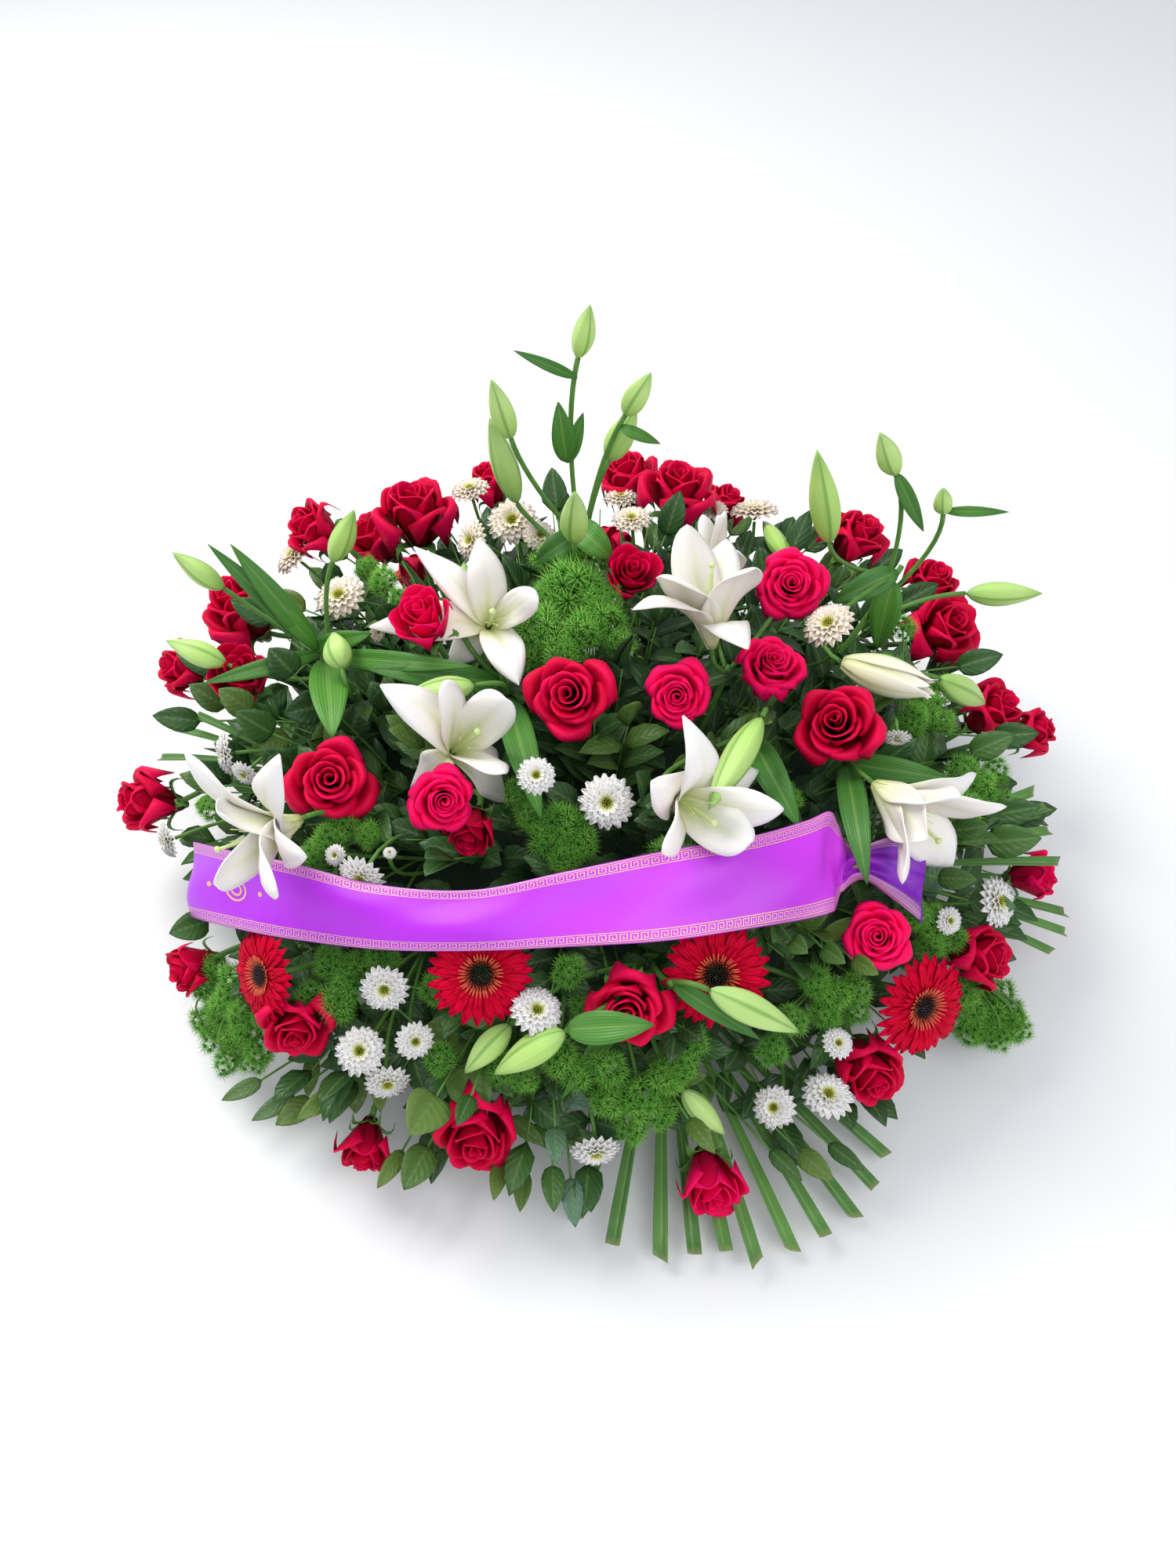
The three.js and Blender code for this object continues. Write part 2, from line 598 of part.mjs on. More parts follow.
// Spray chrysanthemums: scalloped white heads, several to a spray
const DAISY = {
  stem: STEM.daisy,
  steps: [0, 0.55],
  sides: 16,
  head: [[0, -0.36], [1, 0.02, 16, [1, 0.78]], [0.62, 0.34, 8, [1, 0.8]], [0, 0.2, 8]],
  room: [[0, -0.38], [1.04, -0.08, 8], [1.04, 0.08, 8], [0.66, 0.38, 8], [0, 0.38, 8]],
  small: { sides: 8, head: [[0, -0.36], [1, 0.02, 8, [1, 0.8]], [0.5, 0.34, 4], [0, 0.3, 4]] },
};
const daisy = (across, down, wide, lean, toward, back = 0) => ({ at: mound(across, down, back), wide, lean, toward });
const daisyGroup = new THREE.Group();
arrangement.add(daisyGroup);
const DAISIES = {
  daisies_back_left: [
    daisy(654, 668, 36, 35, 120, 14),
    daisy(602, 628, 34, 72, 95, 8),
    daisy(684, 686, 30, 30, 60, -4),
    daisy(608, 694, 30, 60, 180, 4),
  ],
  daisies_back_right: [
    daisy(812, 664, 32, 60, 70, 6),
    daisy(797, 640, 32, 70, 80, 26),
    daisy(921, 652, 26, 50, 90, 22),
    daisy(972, 655, 44, 82, 92, 26),
    daisy(1072, 804, 38, 50, 200, 10),
  ],
  daisies_upper_left: [daisy(438, 767, 38, 45, 120, 12), daisy(377, 713, 36, 75, 150, 24), daisy(481, 806, 17, 40, 0)],
  daisies_left: [daisy(313, 986, 25, 55, 230, 8), daisy(290, 962, 36, 78, 190, 8), daisy(215, 1072, 32, 75, 200, 20)],
  daisies_middle: [
    daisy(686, 1000, 26, 15, 90),
    daisy(774, 1023, 43, 6, 250, -6),
  ],
  daisies_by_ribbon: [daisy(462, 1116, 38, 52, 240, -12), daisy(428, 1091, 18, 25, 180, -4), daisy(497, 1088, 11, 30, 90)],
  daisies_front_left: [
    daisy(491, 1260, 38, 25, 250),
    daisy(460, 1341, 40, 14, 160),
    daisy(529, 1327, 31, 22, 300, 6),
    daisy(494, 1379, 36, 48, 275, 8),
  ],
  daisies_front_middle: [daisy(684, 1290, 40, 25, 60), daisy(760, 1466, 40, 62, 275)],
  daisies_front_right: [
    daisy(1068, 1331, 26, 25, 30, 4),
    daisy(988, 1412, 35, 16, 200),
    daisy(1055, 1398, 42, 35, 60, -16),
  ],
  daisies_right: [daisy(1225, 1187, 22, 40, 350), daisy(1279, 1160, 38, 72, 5), daisy(1155, 946, 22, 70, 270, 10)],
};
for (const [name, heads] of Object.entries(DAISIES)) {
  const points = heads.map((head) => head.at);
  settle(name, COLOUR.daisy, (nudge) => bunch(rootOf(points, nudge), heads, DAISY), daisyGroup);
}

// Ribbon: one band over the mound, gathered at its right end into a short tail. Its rows are read across the view:
// [across, top edge, bottom edge, how far it stands off the mound].
const RIBBON_EDGES = [
  [300, 1094, 1150, -42],
  [262, 1080, 1166, -26],
  [246, 1074, 1170, -2],
  [300, 1086, 1184, 12],
  [370, 1100, 1198, 18],
  [480, 1128, 1211, 20],
  [600, 1135, 1213, 20],
  [720, 1112, 1208, 18],
  [850, 1085, 1200, 18],
  [960, 1068, 1184, 16],
  [1062, 1045, 1166, 12],
  [1092, 1084, 1128, 2],
  [1118, 1080, 1124, 6],
  [1160, 1082, 1160, 4],
  [1182, 1108, 1172, -8],
];
const topEdge = new THREE.CatmullRomCurve3(RIBBON_EDGES.map(([across, high, low, off]) => mound(across, high, -off)));
const bottomEdge = new THREE.CatmullRomCurve3(RIBBON_EDGES.map(([across, high, low, off]) => mound(across, low, -off)));
const ribbon = piece((grow) => {
  const sheet = new THREE.BoxGeometry(1, 1, 1, RIBBON.pieces, 1, 1);
  const points = sheet.attributes.position;
  for (let i = 0; i < points.count; i++) {
    const share = points.getX(i) + 0.5;
    const high = topEdge.getPoint(share);
    const low = bottomEdge.getPoint(share);
    const across = high.clone().sub(low).normalize();
    const face = topEdge.getTangent(share).add(bottomEdge.getTangent(share)).cross(across).normalize();
    const edge = points.getY(i) > 0 ? high.addScaledVector(across, grow) : low.addScaledVector(across, -grow);
    edge.addScaledVector(face, 2 * points.getZ(i) * (RIBBON.thick / 2 + grow));
    points.setXYZ(i, edge.x, edge.y, edge.z);
  }
  return solidOf(sheet);
});
settle("ribbon", COLOUR.ribbon, () => [ribbon]);
settle("ribbon_pick", COLOUR.wood, (nudge) => {
  const head = mound(1098, 1104, -8);
  return [tube(new THREE.LineCurve3(rootOf([head], nudge), head), 1.5, 1)];
});

// Palm: trimmed fans of narrow pleats, cut off square
const STRIP = [[0, 0], [0.45, 0.62], [0.985, 1], [1, 0]];
function palm(name, hub, tips, wide, home) {
  settle(name, COLOUR.palm, (nudge) => {
    const root = rootOf([hub], nudge);
    const away = tips.reduce((sum, tip) => sum.add(tip), new THREE.Vector3()).divideScalar(tips.length).sub(hub);
    const stalk = stemLine(root, hub.clone().addScaledVector(away.normalize(), 6), away);
    const strips = tips.map((tip) => {
      const face = Z.clone().addScaledVector(X, 0.3 * Math.sign(tip.x - hub.x));
      return blade(bowed(hub, tip, 4, Z), face, { wide, thick: 1.6, outline: STRIP });
    });
    return [tube(stalk, STEM.palm), ...strips];
  }, home);
}
const palmGroup = new THREE.Group();
arrangement.add(palmGroup);
const FRONT_TIPS = [
  [735, 1555], [782, 1588], [843, 1606], [885, 1600], [925, 1596], [965, 1612], [1010, 1595], [1052, 1577], [1090, 1553],
  [1115, 1515], [1129, 1475],
];
const RIGHT_TIPS = [[1318, 1010], [1335, 1030], [1338, 1060], [1350, 1100], [1358, 1165], [1358, 1190], [1340, 1215]];
const LEFT_TIPS = [[205, 967], [228, 930], [250, 912]];
palm("palm_front", level(845, 1240, 60), FRONT_TIPS.map(([x, y], i) => level(x, y, 14 + 7 * (i % 2))), 16, palmGroup);
palm("palm_right", mound(1090, 1110, 120), RIGHT_TIPS.map(([x, y], i) => upright(x, y, -40 - 18 * i)), 15, palmGroup);
palm("palm_left", mound(380, 980, 90), LEFT_TIPS.map(([x, y]) => mound(x, y, 20)), 12, palmGroup);

// Foliage: leafy sprigs, with leaves to either side of a twig and one at its tip
const SPRIG_LEAF = [[0, 0], [0.5, 1], [1, 0]];
function sprig(root, tip, { leaf, wide, pairs = 3, from = 0.5 }) {
  const axis = tip.clone().sub(root).normalize();
  const line = stemLine(root, tip, axis.clone().lerp(Z, -0.35).normalize());
  const parts = [tube(line, STEM.leafy, 1, 3)];
  const toEye = eye.clone().sub(tip).normalize();
  for (let i = 0; i <= pairs; i++) {
    const share = from + ((1 - from) * i) / pairs;
    const start = onStem(line, 1, share * 0.99);
    const along = tip.clone().sub(root).normalize();
    const side = along.clone().cross(toEye).normalize().multiplyScalar(i % 2 ? 1 : -1);
    const out = i === pairs ? along.clone() : along.clone().multiplyScalar(0.55).addScaledVector(side, 0.85).normalize();
    const end = start.clone().addScaledVector(out, leaf);
    parts.push(blade(bowed(start, end, 3, toEye), toEye, { wide, thick: 1.4, outline: i === pairs ? LEAF : SPRIG_LEAF }));
  }
  return parts;
}

function foliage(name, sprigs, home) {
  settle(name, COLOUR.leaf, (nudge) => {
    const root = rootOf(sprigs.map(({ tip }) => tip), nudge);
    return sprigs.flatMap(({ tip, leaf, wide, pairs }, i) => {
      return sprig(root, tip, { leaf, wide, pairs });
    });
  }, home);
}
const leafy = (across, down, leaf, wide, pairs = 3, back = 0) => ({ tip: mound(across, down, back), leaf, wide, pairs });
const foliageGroup = new THREE.Group();
arrangement.add(foliageGroup);
foliage("foliage_front", [leafy(545, 1465, 40, 26), leafy(395, 1405, 34, 20), leafy(705, 1490, 38, 18), leafy(1020, 1470, 36, 18)], foliageGroup);
foliage("foliage_left", [leafy(345, 935, 40, 26, 3, 14), leafy(255, 1165, 34, 24, 3, 20), leafy(240, 925, 36, 22, 3, 30)], foliageGroup);
foliage("foliage_right", [leafy(1262, 1075, 44, 28, 3, 14), leafy(1258, 1160, 38, 24, 3, 24), leafy(1240, 960, 40, 24, 3, 24)], foliageGroup);
foliage("foliage_back", [
  { tip: new THREE.Vector3(-80, 330, 120), leaf: 44, wide: 26, pairs: 3 },
  { tip: new THREE.Vector3(150, 325, 120), leaf: 44, wide: 26, pairs: 3 },
  { tip: new THREE.Vector3(-285, 220, 110), leaf: 40, wide: 24, pairs: 3 },
], foliageGroup);

// Feathery fern: round tufts of needles on twigs, several tufts to a spray
const FERN = {
  stem: STEM.fern,
  steps: [0, 0.55],
  sides: 8,
  head: [[0, -0.5], [0.8, -0.45, 8, [1, 0.45]], [1, 0.1, 8, [0.5, 1]], [0.7, 0.75, 8, [1, 0.4]], [0, 0.4, 4]],
  room: [[0, -0.5], [0.92, -0.5, 8], [1.04, 0.1, 8], [0.7, 0.75, 8], [0, 0.8, 8]],
};
const tuft = (across, down, wide, back = 14, lean = 20, toward = 90) => ({ at: mound(across, down, back), wide, lean, toward });
const fernGroup = new THREE.Group();
arrangement.add(fernGroup);
const FERNS = {
  fern_top: [tuft(690, 815, 48, 22), tuft(735, 760, 62, 16), tuft(770, 800, 40, 26), tuft(490, 742, 34, 12, 50, 140)],
  fern_left: [tuft(420, 1075, 34, 20, 40, 200), tuft(452, 1245, 40, 22), tuft(300, 1320, 34, 10, 60, 220)],
  fern_middle: [tuft(718, 1050, 40, 22), tuft(866, 1098, 36, 26), tuft(712, 1345, 38, 22), tuft(815, 1400, 40, 18)],
  fern_right: [
    tuft(1190, 1180, 36, 22, 30, 340),
    tuft(1180, 900, 38, 22, 40, 30),
    tuft(1250, 1008, 44, 20, 50, 10),
    tuft(1060, 1268, 36, 24, 20, 300),
    tuft(1262, 1298, 42, 10, 50, 320),
  ],
};
for (const [name, heads] of Object.entries(FERNS)) {
  const points = heads.map((head) => head.at);
  settle(name, COLOUR.fern, (nudge) => bunch(rootOf(points, nudge), heads, FERN), fernGroup);
}

// Floral foam, with a plain hole for each stem, in a low tray
function slab(length, width, corner, low, high, curveSegments = 3) {
  const x = length / 2;
  const y = width / 2;
  const outline = new THREE.Shape();
  outline.moveTo(x, y - corner);
  outline.absarc(x - corner, y - corner, corner, 0, PI / 2, false);
  outline.absarc(corner - x, y - corner, corner, PI / 2, PI, false);
  outline.absarc(corner - x, corner - y, corner, PI, 1.5 * PI, false);
  outline.absarc(x - corner, corner - y, corner, 1.5 * PI, 2 * PI, false);
  const geometry = new THREE.ExtrudeGeometry(outline, { depth: high - low, curveSegments, bevelEnabled: false });
  geometry.translate(0, 0, low);
  return solidOf(geometry);
}
const only = (solid) => [{ body: solid, room: solid }];
const foam = slab(FOAM.length, FOAM.width, FOAM.corner, TRAY.floor + 0.1, FOAM.top, 1);
settle("foam", COLOUR.foam, () => only(foam));
const trayOuter = slab(TRAY.length, TRAY.width, TRAY.corner, 0, TRAY.height);
const trayInner = slab(TRAY.length - 2 * TRAY.wall, TRAY.width - 2 * TRAY.wall, TRAY.corner - TRAY.wall, TRAY.floor, TRAY.height + 9);
settle("tray", COLOUR.tray, () => only(trayOuter.subtract(trayInner)));

// The nodes' meshes
for (const { name, colour, home, roughness, metalness, solid } of nodes) {
  const mesh = solid.getMesh();
  const geometry = new THREE.BufferGeometry();
  geometry.setAttribute("position", new THREE.BufferAttribute(mesh.vertProperties, 3));
  geometry.setIndex(new THREE.BufferAttribute(mesh.triVerts, 1));
  const node = new THREE.Mesh(geometry, new THREE.MeshStandardMaterial({ color: colour, roughness, metalness }));
  node.name = name;
  home.add(node);
}

export default arrangement;
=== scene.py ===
# Looks of a funeral pillow arrangement: an oval mound of red roses, white lilies, gerberas, small
# chrysanthemums, feathery fern, leaves and trimmed palm in wet floral foam, with a purple ribbon across it.
# Metres, +Z up, front at -Y, origin on the tray's underside at its middle.
import math
import random

import bmesh
import bpy
from mathutils import Matrix, Vector


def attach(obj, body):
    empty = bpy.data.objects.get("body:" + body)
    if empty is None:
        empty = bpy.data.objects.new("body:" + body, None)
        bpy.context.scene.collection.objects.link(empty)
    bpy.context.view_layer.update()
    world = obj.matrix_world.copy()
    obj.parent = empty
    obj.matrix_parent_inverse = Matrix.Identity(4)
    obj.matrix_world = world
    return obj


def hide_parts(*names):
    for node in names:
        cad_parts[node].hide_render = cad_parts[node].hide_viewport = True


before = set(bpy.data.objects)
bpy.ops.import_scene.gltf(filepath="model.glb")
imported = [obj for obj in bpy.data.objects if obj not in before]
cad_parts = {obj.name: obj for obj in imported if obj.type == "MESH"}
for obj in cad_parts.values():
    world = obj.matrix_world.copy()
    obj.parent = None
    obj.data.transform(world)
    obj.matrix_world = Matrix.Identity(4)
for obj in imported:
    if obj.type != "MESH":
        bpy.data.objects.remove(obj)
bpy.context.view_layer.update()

# Camera
# The photograph looks down on the arrangement from the front, about 50 degrees up and 1.2 m from it. Its
# frame is 1500 by 2000, and the focal length is in the same units.
frame_wide, frame_high = 1500, 2000
focal = 1700
film = 36
elevation = math.radians(50)
ahead = Vector((0, math.cos(elevation), -math.sin(elevation)))
upward = Vector((1, 0, 0)).cross(ahead)
eye = Vector((0, 0, 0.1)) - ahead * 1.2

camera = bpy.data.objects.new("camera", bpy.data.cameras.new("camera"))
camera.data.sensor_width = film
camera.data.lens = film * focal / frame_high
camera.matrix_world = Matrix.Translation(eye) @ ahead.to_track_quat("-Z", "Y").to_matrix().to_4x4()
bpy.context.collection.objects.link(camera)
bpy.context.scene.camera = camera


# Light and floor
# A pale floor and plain soft studio light, from high on the left and behind as in the photograph.
floor_mesh = bmesh.new()
bmesh.ops.create_grid(floor_mesh, x_segments=1, y_segments=1, size=8)
floor = bpy.data.objects.new("floor", bpy.data.meshes.new("floor"))
floor_mesh.to_mesh(floor.data)
floor_mesh.free()
bpy.context.collection.objects.link(floor)

bpy.context.scene.view_settings.view_transform = "Standard"
world = bpy.data.worlds.new("studio")
bpy.context.scene.world = world
world.use_nodes = True
world.node_tree.nodes["Background"].inputs["Color"].default_value = (0.86, 0.91, 1.0, 1)
world.node_tree.nodes["Background"].inputs["Strength"].default_value = 0.6


def soft_light(name, place, size, power, colour):
    light = bpy.data.objects.new(name, bpy.data.lights.new(name, "AREA"))
    light.data.size = size
    light.data.energy = power
    light.data.color = colour
    place = Vector(place)
    turn = (Vector((0, 0, 0.12)) - place).to_track_quat("-Z", "Y").to_matrix().to_4x4()
    light.matrix_world = Matrix.Translation(place) @ turn
    bpy.context.collection.objects.link(light)


soft_light("sky_left", (-1.3, 0.9, 2.1), 1.5, 55, (1.0, 0.98, 0.95))
soft_light("sky_front", (0.9, -1.6, 2.2), 2.0, 34, (0.98, 0.97, 1.0))


# A finish is a Principled surface whose colours and bumps are worked out as sums on its sockets.
class Wire:
    def __init__(self, tree, socket):
        self.tree, self.socket = tree, socket

    def sum(self, operation, *values):
        return node(self.tree, "ShaderNodeMath", {"operation": operation}, *values)

    def __add__(self, other):
        return self.sum("ADD", self, other)

    def __radd__(self, other):
        return self.sum("ADD", other, self)

    def __sub__(self, other):
        return self.sum("SUBTRACT", self, other)

    def __rsub__(self, other):
        return self.sum("SUBTRACT", other, self)

    def __mul__(self, other):
        return self.sum("MULTIPLY", self, other)

    def __rmul__(self, other):
        return self.sum("MULTIPLY", other, self)

    def __pow__(self, other):
        return self.sum("POWER", self, other)

    def __lt__(self, other):
        return self.sum("LESS_THAN", self, other)

    def __gt__(self, other):
        return self.sum("GREATER_THAN", self, other)


def node(tree, kind, settings, *values, out=0):
    made = tree.nodes.new(kind)
    for name, value in settings.items():
        if name == "stops":
            ramp = made.color_ramp
            while len(ramp.elements) < len(value):
                ramp.elements.new(0.5)
            for element, (place, colour) in zip(ramp.elements, value):
                element.position = place
                element.color = (*colour, 1)
        else:
            setattr(made, name, value)
    for i, value in enumerate(values):
        if value is None:
            continue
        if isinstance(value, Wire):
            tree.links.new(value.socket, made.inputs[i])
        else:
            made.inputs[i].default_value = value
    return Wire(tree, made.outputs[out])


class Finish:
    def __init__(self, name, roughness=0.5, **constants):
        self.material = bpy.data.materials.new(name)
        self.material.use_nodes = True
        self.tree = self.material.node_tree
        self.shader = self.tree.nodes["Principled BSDF"]
        self.shader.inputs["Roughness"].default_value = roughness
        for key, value in constants.items():
            self.shader.inputs[key.replace("_", " ")].default_value = value
        self.place = node(self.tree, "ShaderNodeTexCoord", {}, out=3)

    def make(self, kind, settings, *values, out=0):
        return node(self.tree, kind, settings, *values, out=out)

    def noise(self, scale, detail=3):
        return self.make("ShaderNodeTexNoise", {}, self.place, None, scale, detail)

    def stored(self, name):
        return self.make("ShaderNodeAttribute", {"attribute_name": name}, out=1)

    def blend(self, share, low, high, way="MIX"):
        low = low if isinstance(low, Wire) else (*low, 1)
        high = high if isinstance(high, Wire) else (*high, 1)
        made = self.tree.nodes.new("ShaderNodeMix")
        made.data_type = "RGBA"
        made.blend_type = way
        for socket, value in zip((made.inputs[0], made.inputs[6], made.inputs[7]), (share, low, high)):
            if isinstance(value, Wire):
                self.tree.links.new(value.socket, socket)
            else:
                socket.default_value = value
        return Wire(self.tree, made.outputs[2])

    def sine(self, angle):
        return self.make("ShaderNodeMath", {"operation": "SINE"}, angle)

    def ramp(self, share, *stops):
        return self.make("ShaderNodeValToRGB", {"stops": stops}, share)

    def set(self, name, wire):
        self.tree.links.new(wire.socket, self.shader.inputs[name])

    def bump(self, height, depth, strength=1.0):
        self.set("Normal", self.make("ShaderNodeBump", {}, strength, depth, None, height))


floor_finish = Finish("pale_floor", roughness=0.85)
floor_tone = floor_finish.blend(floor_finish.noise(3.0), (0.86, 0.86, 0.86), (0.89, 0.89, 0.88))
floor_finish.set("Base Color", floor_tone)
floor.data.materials.append(floor_finish.material)


# Tray and foam
# A low tray moulded in dark green plastic holds a block of wet floral foam, which carries every stem, and a
# wooden pick holds the ribbon's gathered end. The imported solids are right, so they only get their finishes.
def dress(name, finish):
    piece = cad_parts[name]
    for slot in piece.material_slots:
        slot.material = finish.material


tray_finish = Finish("dark_green_plastic", roughness=0.38)
speckle = tray_finish.noise(60, 4)
tray_finish.set("Base Color", tray_finish.blend(speckle, (0.012, 0.03, 0.018), (0.02, 0.048, 0.028)))
tray_finish.set("Roughness", 0.3 + 0.2 * tray_finish.noise(14, 3))
tray_finish.bump(speckle, 0.0004)
dress("tray", tray_finish)

foam_finish = Finish("wet_floral_foam", roughness=0.8)
cells = foam_finish.make("ShaderNodeTexVoronoi", {}, foam_finish.place, None, 900.0)
patches = foam_finish.noise(12, 4)
# The foam's own dark green is painted darker still, as painted shade in the gaps between the stems.
foam_finish.set("Base Color", foam_finish.blend(patches, (0.006, 0.022, 0.008), (0.014, 0.045, 0.016)))
foam_finish.bump(cells * 0.5 + patches * 0.5, 0.0015)
dress("foam", foam_finish)

pick_finish = Finish("bare_wood", roughness=0.65)
grain = pick_finish.noise(140, 4)
pick_finish.set("Base Color", pick_finish.blend(grain, (0.42, 0.26, 0.12), (0.62, 0.43, 0.22)))
pick_finish.bump(grain, 0.0003)
dress("ribbon_pick", pick_finish)


# Roses
# Long-stemmed red roses, opened, cut short and pushed into the foam. Each head is a whorl of thin velvety
# petals round a tight middle, over five green sepals. Two sorts are mixed: large deep red ones with pointed
# lips, and smaller carmine ones with more petals.


# The line of sight through a spot of the photograph's frame, so far across it from the left and so far down
# it from the top. Every head stands where it shows there.
def sight(across, down):
    aside = Vector((1, 0, 0)) * ((across - frame_wide / 2) / focal)
    above = upward * ((frame_high / 2 - down) / focal)
    return (ahead + aside + above).normalized()


# The spot on the line of sight that is so high above the ground, in millimetres as in all the tables below
def level(across, down, height):
    ray = sight(across, down)
    return eye + ray * ((height / 1000 - eye.z) / ray.z)


# The mound's outline is the upper part of an ellipsoid. Heads stand on it where a line of sight meets it,
# moved `back` away from the eye. A spot that would be lower than the foot is brought up to it.
mound_middle = Vector((0, 0.005, 0.04))
mound_half = Vector((0.405, 0.35, 0.252))
mound_foot = 52


def mound(across, down, back=0):
    ray = sight(across, down)
    start = Vector(((eye - mound_middle)[i] / mound_half[i] for i in range(3)))
    step = Vector((ray[i] / mound_half[i] for i in range(3)))
    a, b, c = step.dot(step), start.dot(step), start.dot(start) - 1
    point = eye + ray * ((-b - math.sqrt(max(0, b * b - a * c))) / a + back / 1000)
    return level(across, down, mound_foot) if point.z < mound_foot / 1000 else point


# A head's direction: `lean` degrees off facing the eye, towards an angle in the view, 0 to the right, 90 up
def facing(point, lean, toward):
    out = (eye - point).normalized()
    right = Vector((1, 0, 0))
    right = (right - out * right.dot(out)).normalized()
    lean, toward = math.radians(lean), math.radians(toward)
    sideways = right * math.cos(toward) + out.cross(right) * math.sin(toward)
    return out * math.cos(lean) + sideways * math.sin(lean)


# A finished shape becomes a piece of the arrangement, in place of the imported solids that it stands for
def new_piece(name, shape, finish, replaced=()):
    mesh = bpy.data.meshes.new(name)
    shape.to_mesh(mesh)
    shape.free()
    mesh.shade_smooth()
    piece = bpy.data.objects.new(name, mesh)
    bpy.context.collection.objects.link(piece)
    piece.data.materials.append(finish.material)
    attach(piece, "root")
    if replaced:
        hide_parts(*replaced)
    return piece


# A blank of fine quads: `u` runs from -1 to 1 across it and `v` from 0 to 1 along it. Both are kept on its
# points with a tone of its own, for the finish to read.
def blank(shape, across, along, place, tone=0.0):
    layer = shape.verts.layers.float_vector.get("petal") or shape.verts.layers.float_vector.new("petal")
    made = bmesh.ops.create_grid(shape, x_segments=across, y_segments=along, size=1)["verts"]
    for vert in made:
        u, v = vert.co.x, (vert.co.y + 1) / 2
        vert[layer] = (u, v, tone)
        vert.co = place(u, v)
    return made


# Gives thin sheets their thickness: a second skin is drawn off each along its normals, and the rims are
# closed.
def thicken(shape, thickness):
    bmesh.ops.recalc_face_normals(shape, faces=shape.faces)
    shape.normal_update()
    lift = shape.verts.layers.float_vector.new("lift")
    for vert in shape.verts:
        vert[lift] = vert.normal
    skin = bmesh.ops.extrude_face_region(shape, geom=shape.faces[:], use_keep_orig=True)["geom"]
    for vert in skin:
        if isinstance(vert, bmesh.types.BMVert):
            vert.co += vert[lift] * thickness
    shape.verts.layers.float_vector.remove(lift)
    bmesh.ops.recalc_face_normals(shape, faces=shape.faces)


# Puts a copy of a finished head, leaf or bud on a point, its own up along the axis.
def plant(shape, form, at, axis, size, spin=0.0, tint=None):
    before = len(shape.verts)
    shape.from_mesh(form)
    shape.verts.ensure_lookup_table()
    fresh = shape.verts[before:]
    turn = axis.to_track_quat("Z", "Y").to_matrix().to_4x4() @ Matrix.Rotation(spin, 4, "Z")
    size = Matrix.Diagonal((*(size if isinstance(size, tuple) else (size, size, size)), 1))
    bmesh.ops.transform(shape, matrix=Matrix.Translation(at) @ turn @ size, verts=fresh)
    if tint is not None:
        layer = shape.verts.layers.float_vector["petal"]
        for vert in fresh:
            vert[layer] = (vert[layer].x, vert[layer].y, tint + 0.3 * vert[layer].z)


def kept(shape, name):
    mesh = bpy.data.meshes.new(name)
    shape.to_mesh(mesh)
    shape.free()
    return mesh


# Petals, florets and needles are packed in a spiral, each turned this far on from the last
golden_turn = 2.39996


# A head one unit in half width. `opened` is how far its outer petals have bent out, `point` how sharp their
# lips are, and `frill` how wavy their rims.
def rose_form(name, petals, seed, opened, point, frill):
    draw = random.Random(seed)
    shape = bmesh.new()
    off_centre = Vector((draw.uniform(-0.07, 0.07), draw.uniform(-0.07, 0.07), 0))
    for i in range(petals):
        t = i / (petals - 1)
        turn = i * golden_turn + draw.uniform(-0.3, 0.3)
        wrap = math.radians(128 - 76 * min(1, t * 1.5) ** 0.7 + draw.uniform(-6, 8) * t)
        reach = 0.07 + 0.72 * t**0.95 + draw.uniform(-0.07, 0.07) * t
        foot = 0.05 + 0.14 * t
        top = 0.52 - 0.34 * opened * t**1.6 + draw.uniform(-0.05, 0.06)
        low = -0.50 - 0.42 * min(1, 2 * t)
        belly = 0.16 * t
        curl = (0.05 + 0.24 * t**1.1) * opened
        coil = draw.uniform(0.10, 0.22) * (1 - 0.5 * t)
        wave, skew = draw.uniform(0, 6.28), draw.uniform(-0.3, 0.3)

        def place(u, v):
            rise = math.sin(v * math.pi / 2) ** 0.9
            rounded = 1 - (0.20 + 0.22 * t) * abs(u) ** 2.2 * v**2
            out = foot + (reach - foot) * math.sin(v * math.pi / 2) ** (0.75 + 0.5 * t * opened)
            out += belly * math.sin(math.pi * v)
            out *= 1 + (coil * u - (0.05 + 0.10 * t) * u * u) * v
            height = low + (top - low) * rise * rounded
            lip = max(0.0, (v - 0.62) / 0.38)
            rolled = (1 - point) + point * min(1.2, 0.25 + 1.4 * (u + skew * t) ** 2)
            out += curl * lip**1.5 * (0.55 + 0.45 * rolled)
            out += 0.12 * point * t * lip**2 * max(0, 1 - abs(u + skew * t)) ** 1.5
            height -= curl * lip**2.2 * (0.2 + 1.2 * rolled * t)
            height += frill * math.sin(5.5 * u + wave) * lip * (0.3 + t)
            out += 0.7 * frill * math.sin(4.3 * u + 2 * wave) * lip * (0.3 + t)
            narrowed = 1 - (0.10 + 0.34 * t) * max(0, (v - 0.45) / 0.55) ** 2
            widened = 0.40 + 0.60 * math.sin(min(1, v * 1.2) * math.pi / 2)
            angle = turn + u * wrap * widened * narrowed
            return Vector((out * math.cos(angle), out * math.sin(angle), height)) + off_centre * (1 - t) * v

        blank(shape, 8, 8, place, draw.random())
    thicken(shape, 0.016)
    return kept(shape, name)


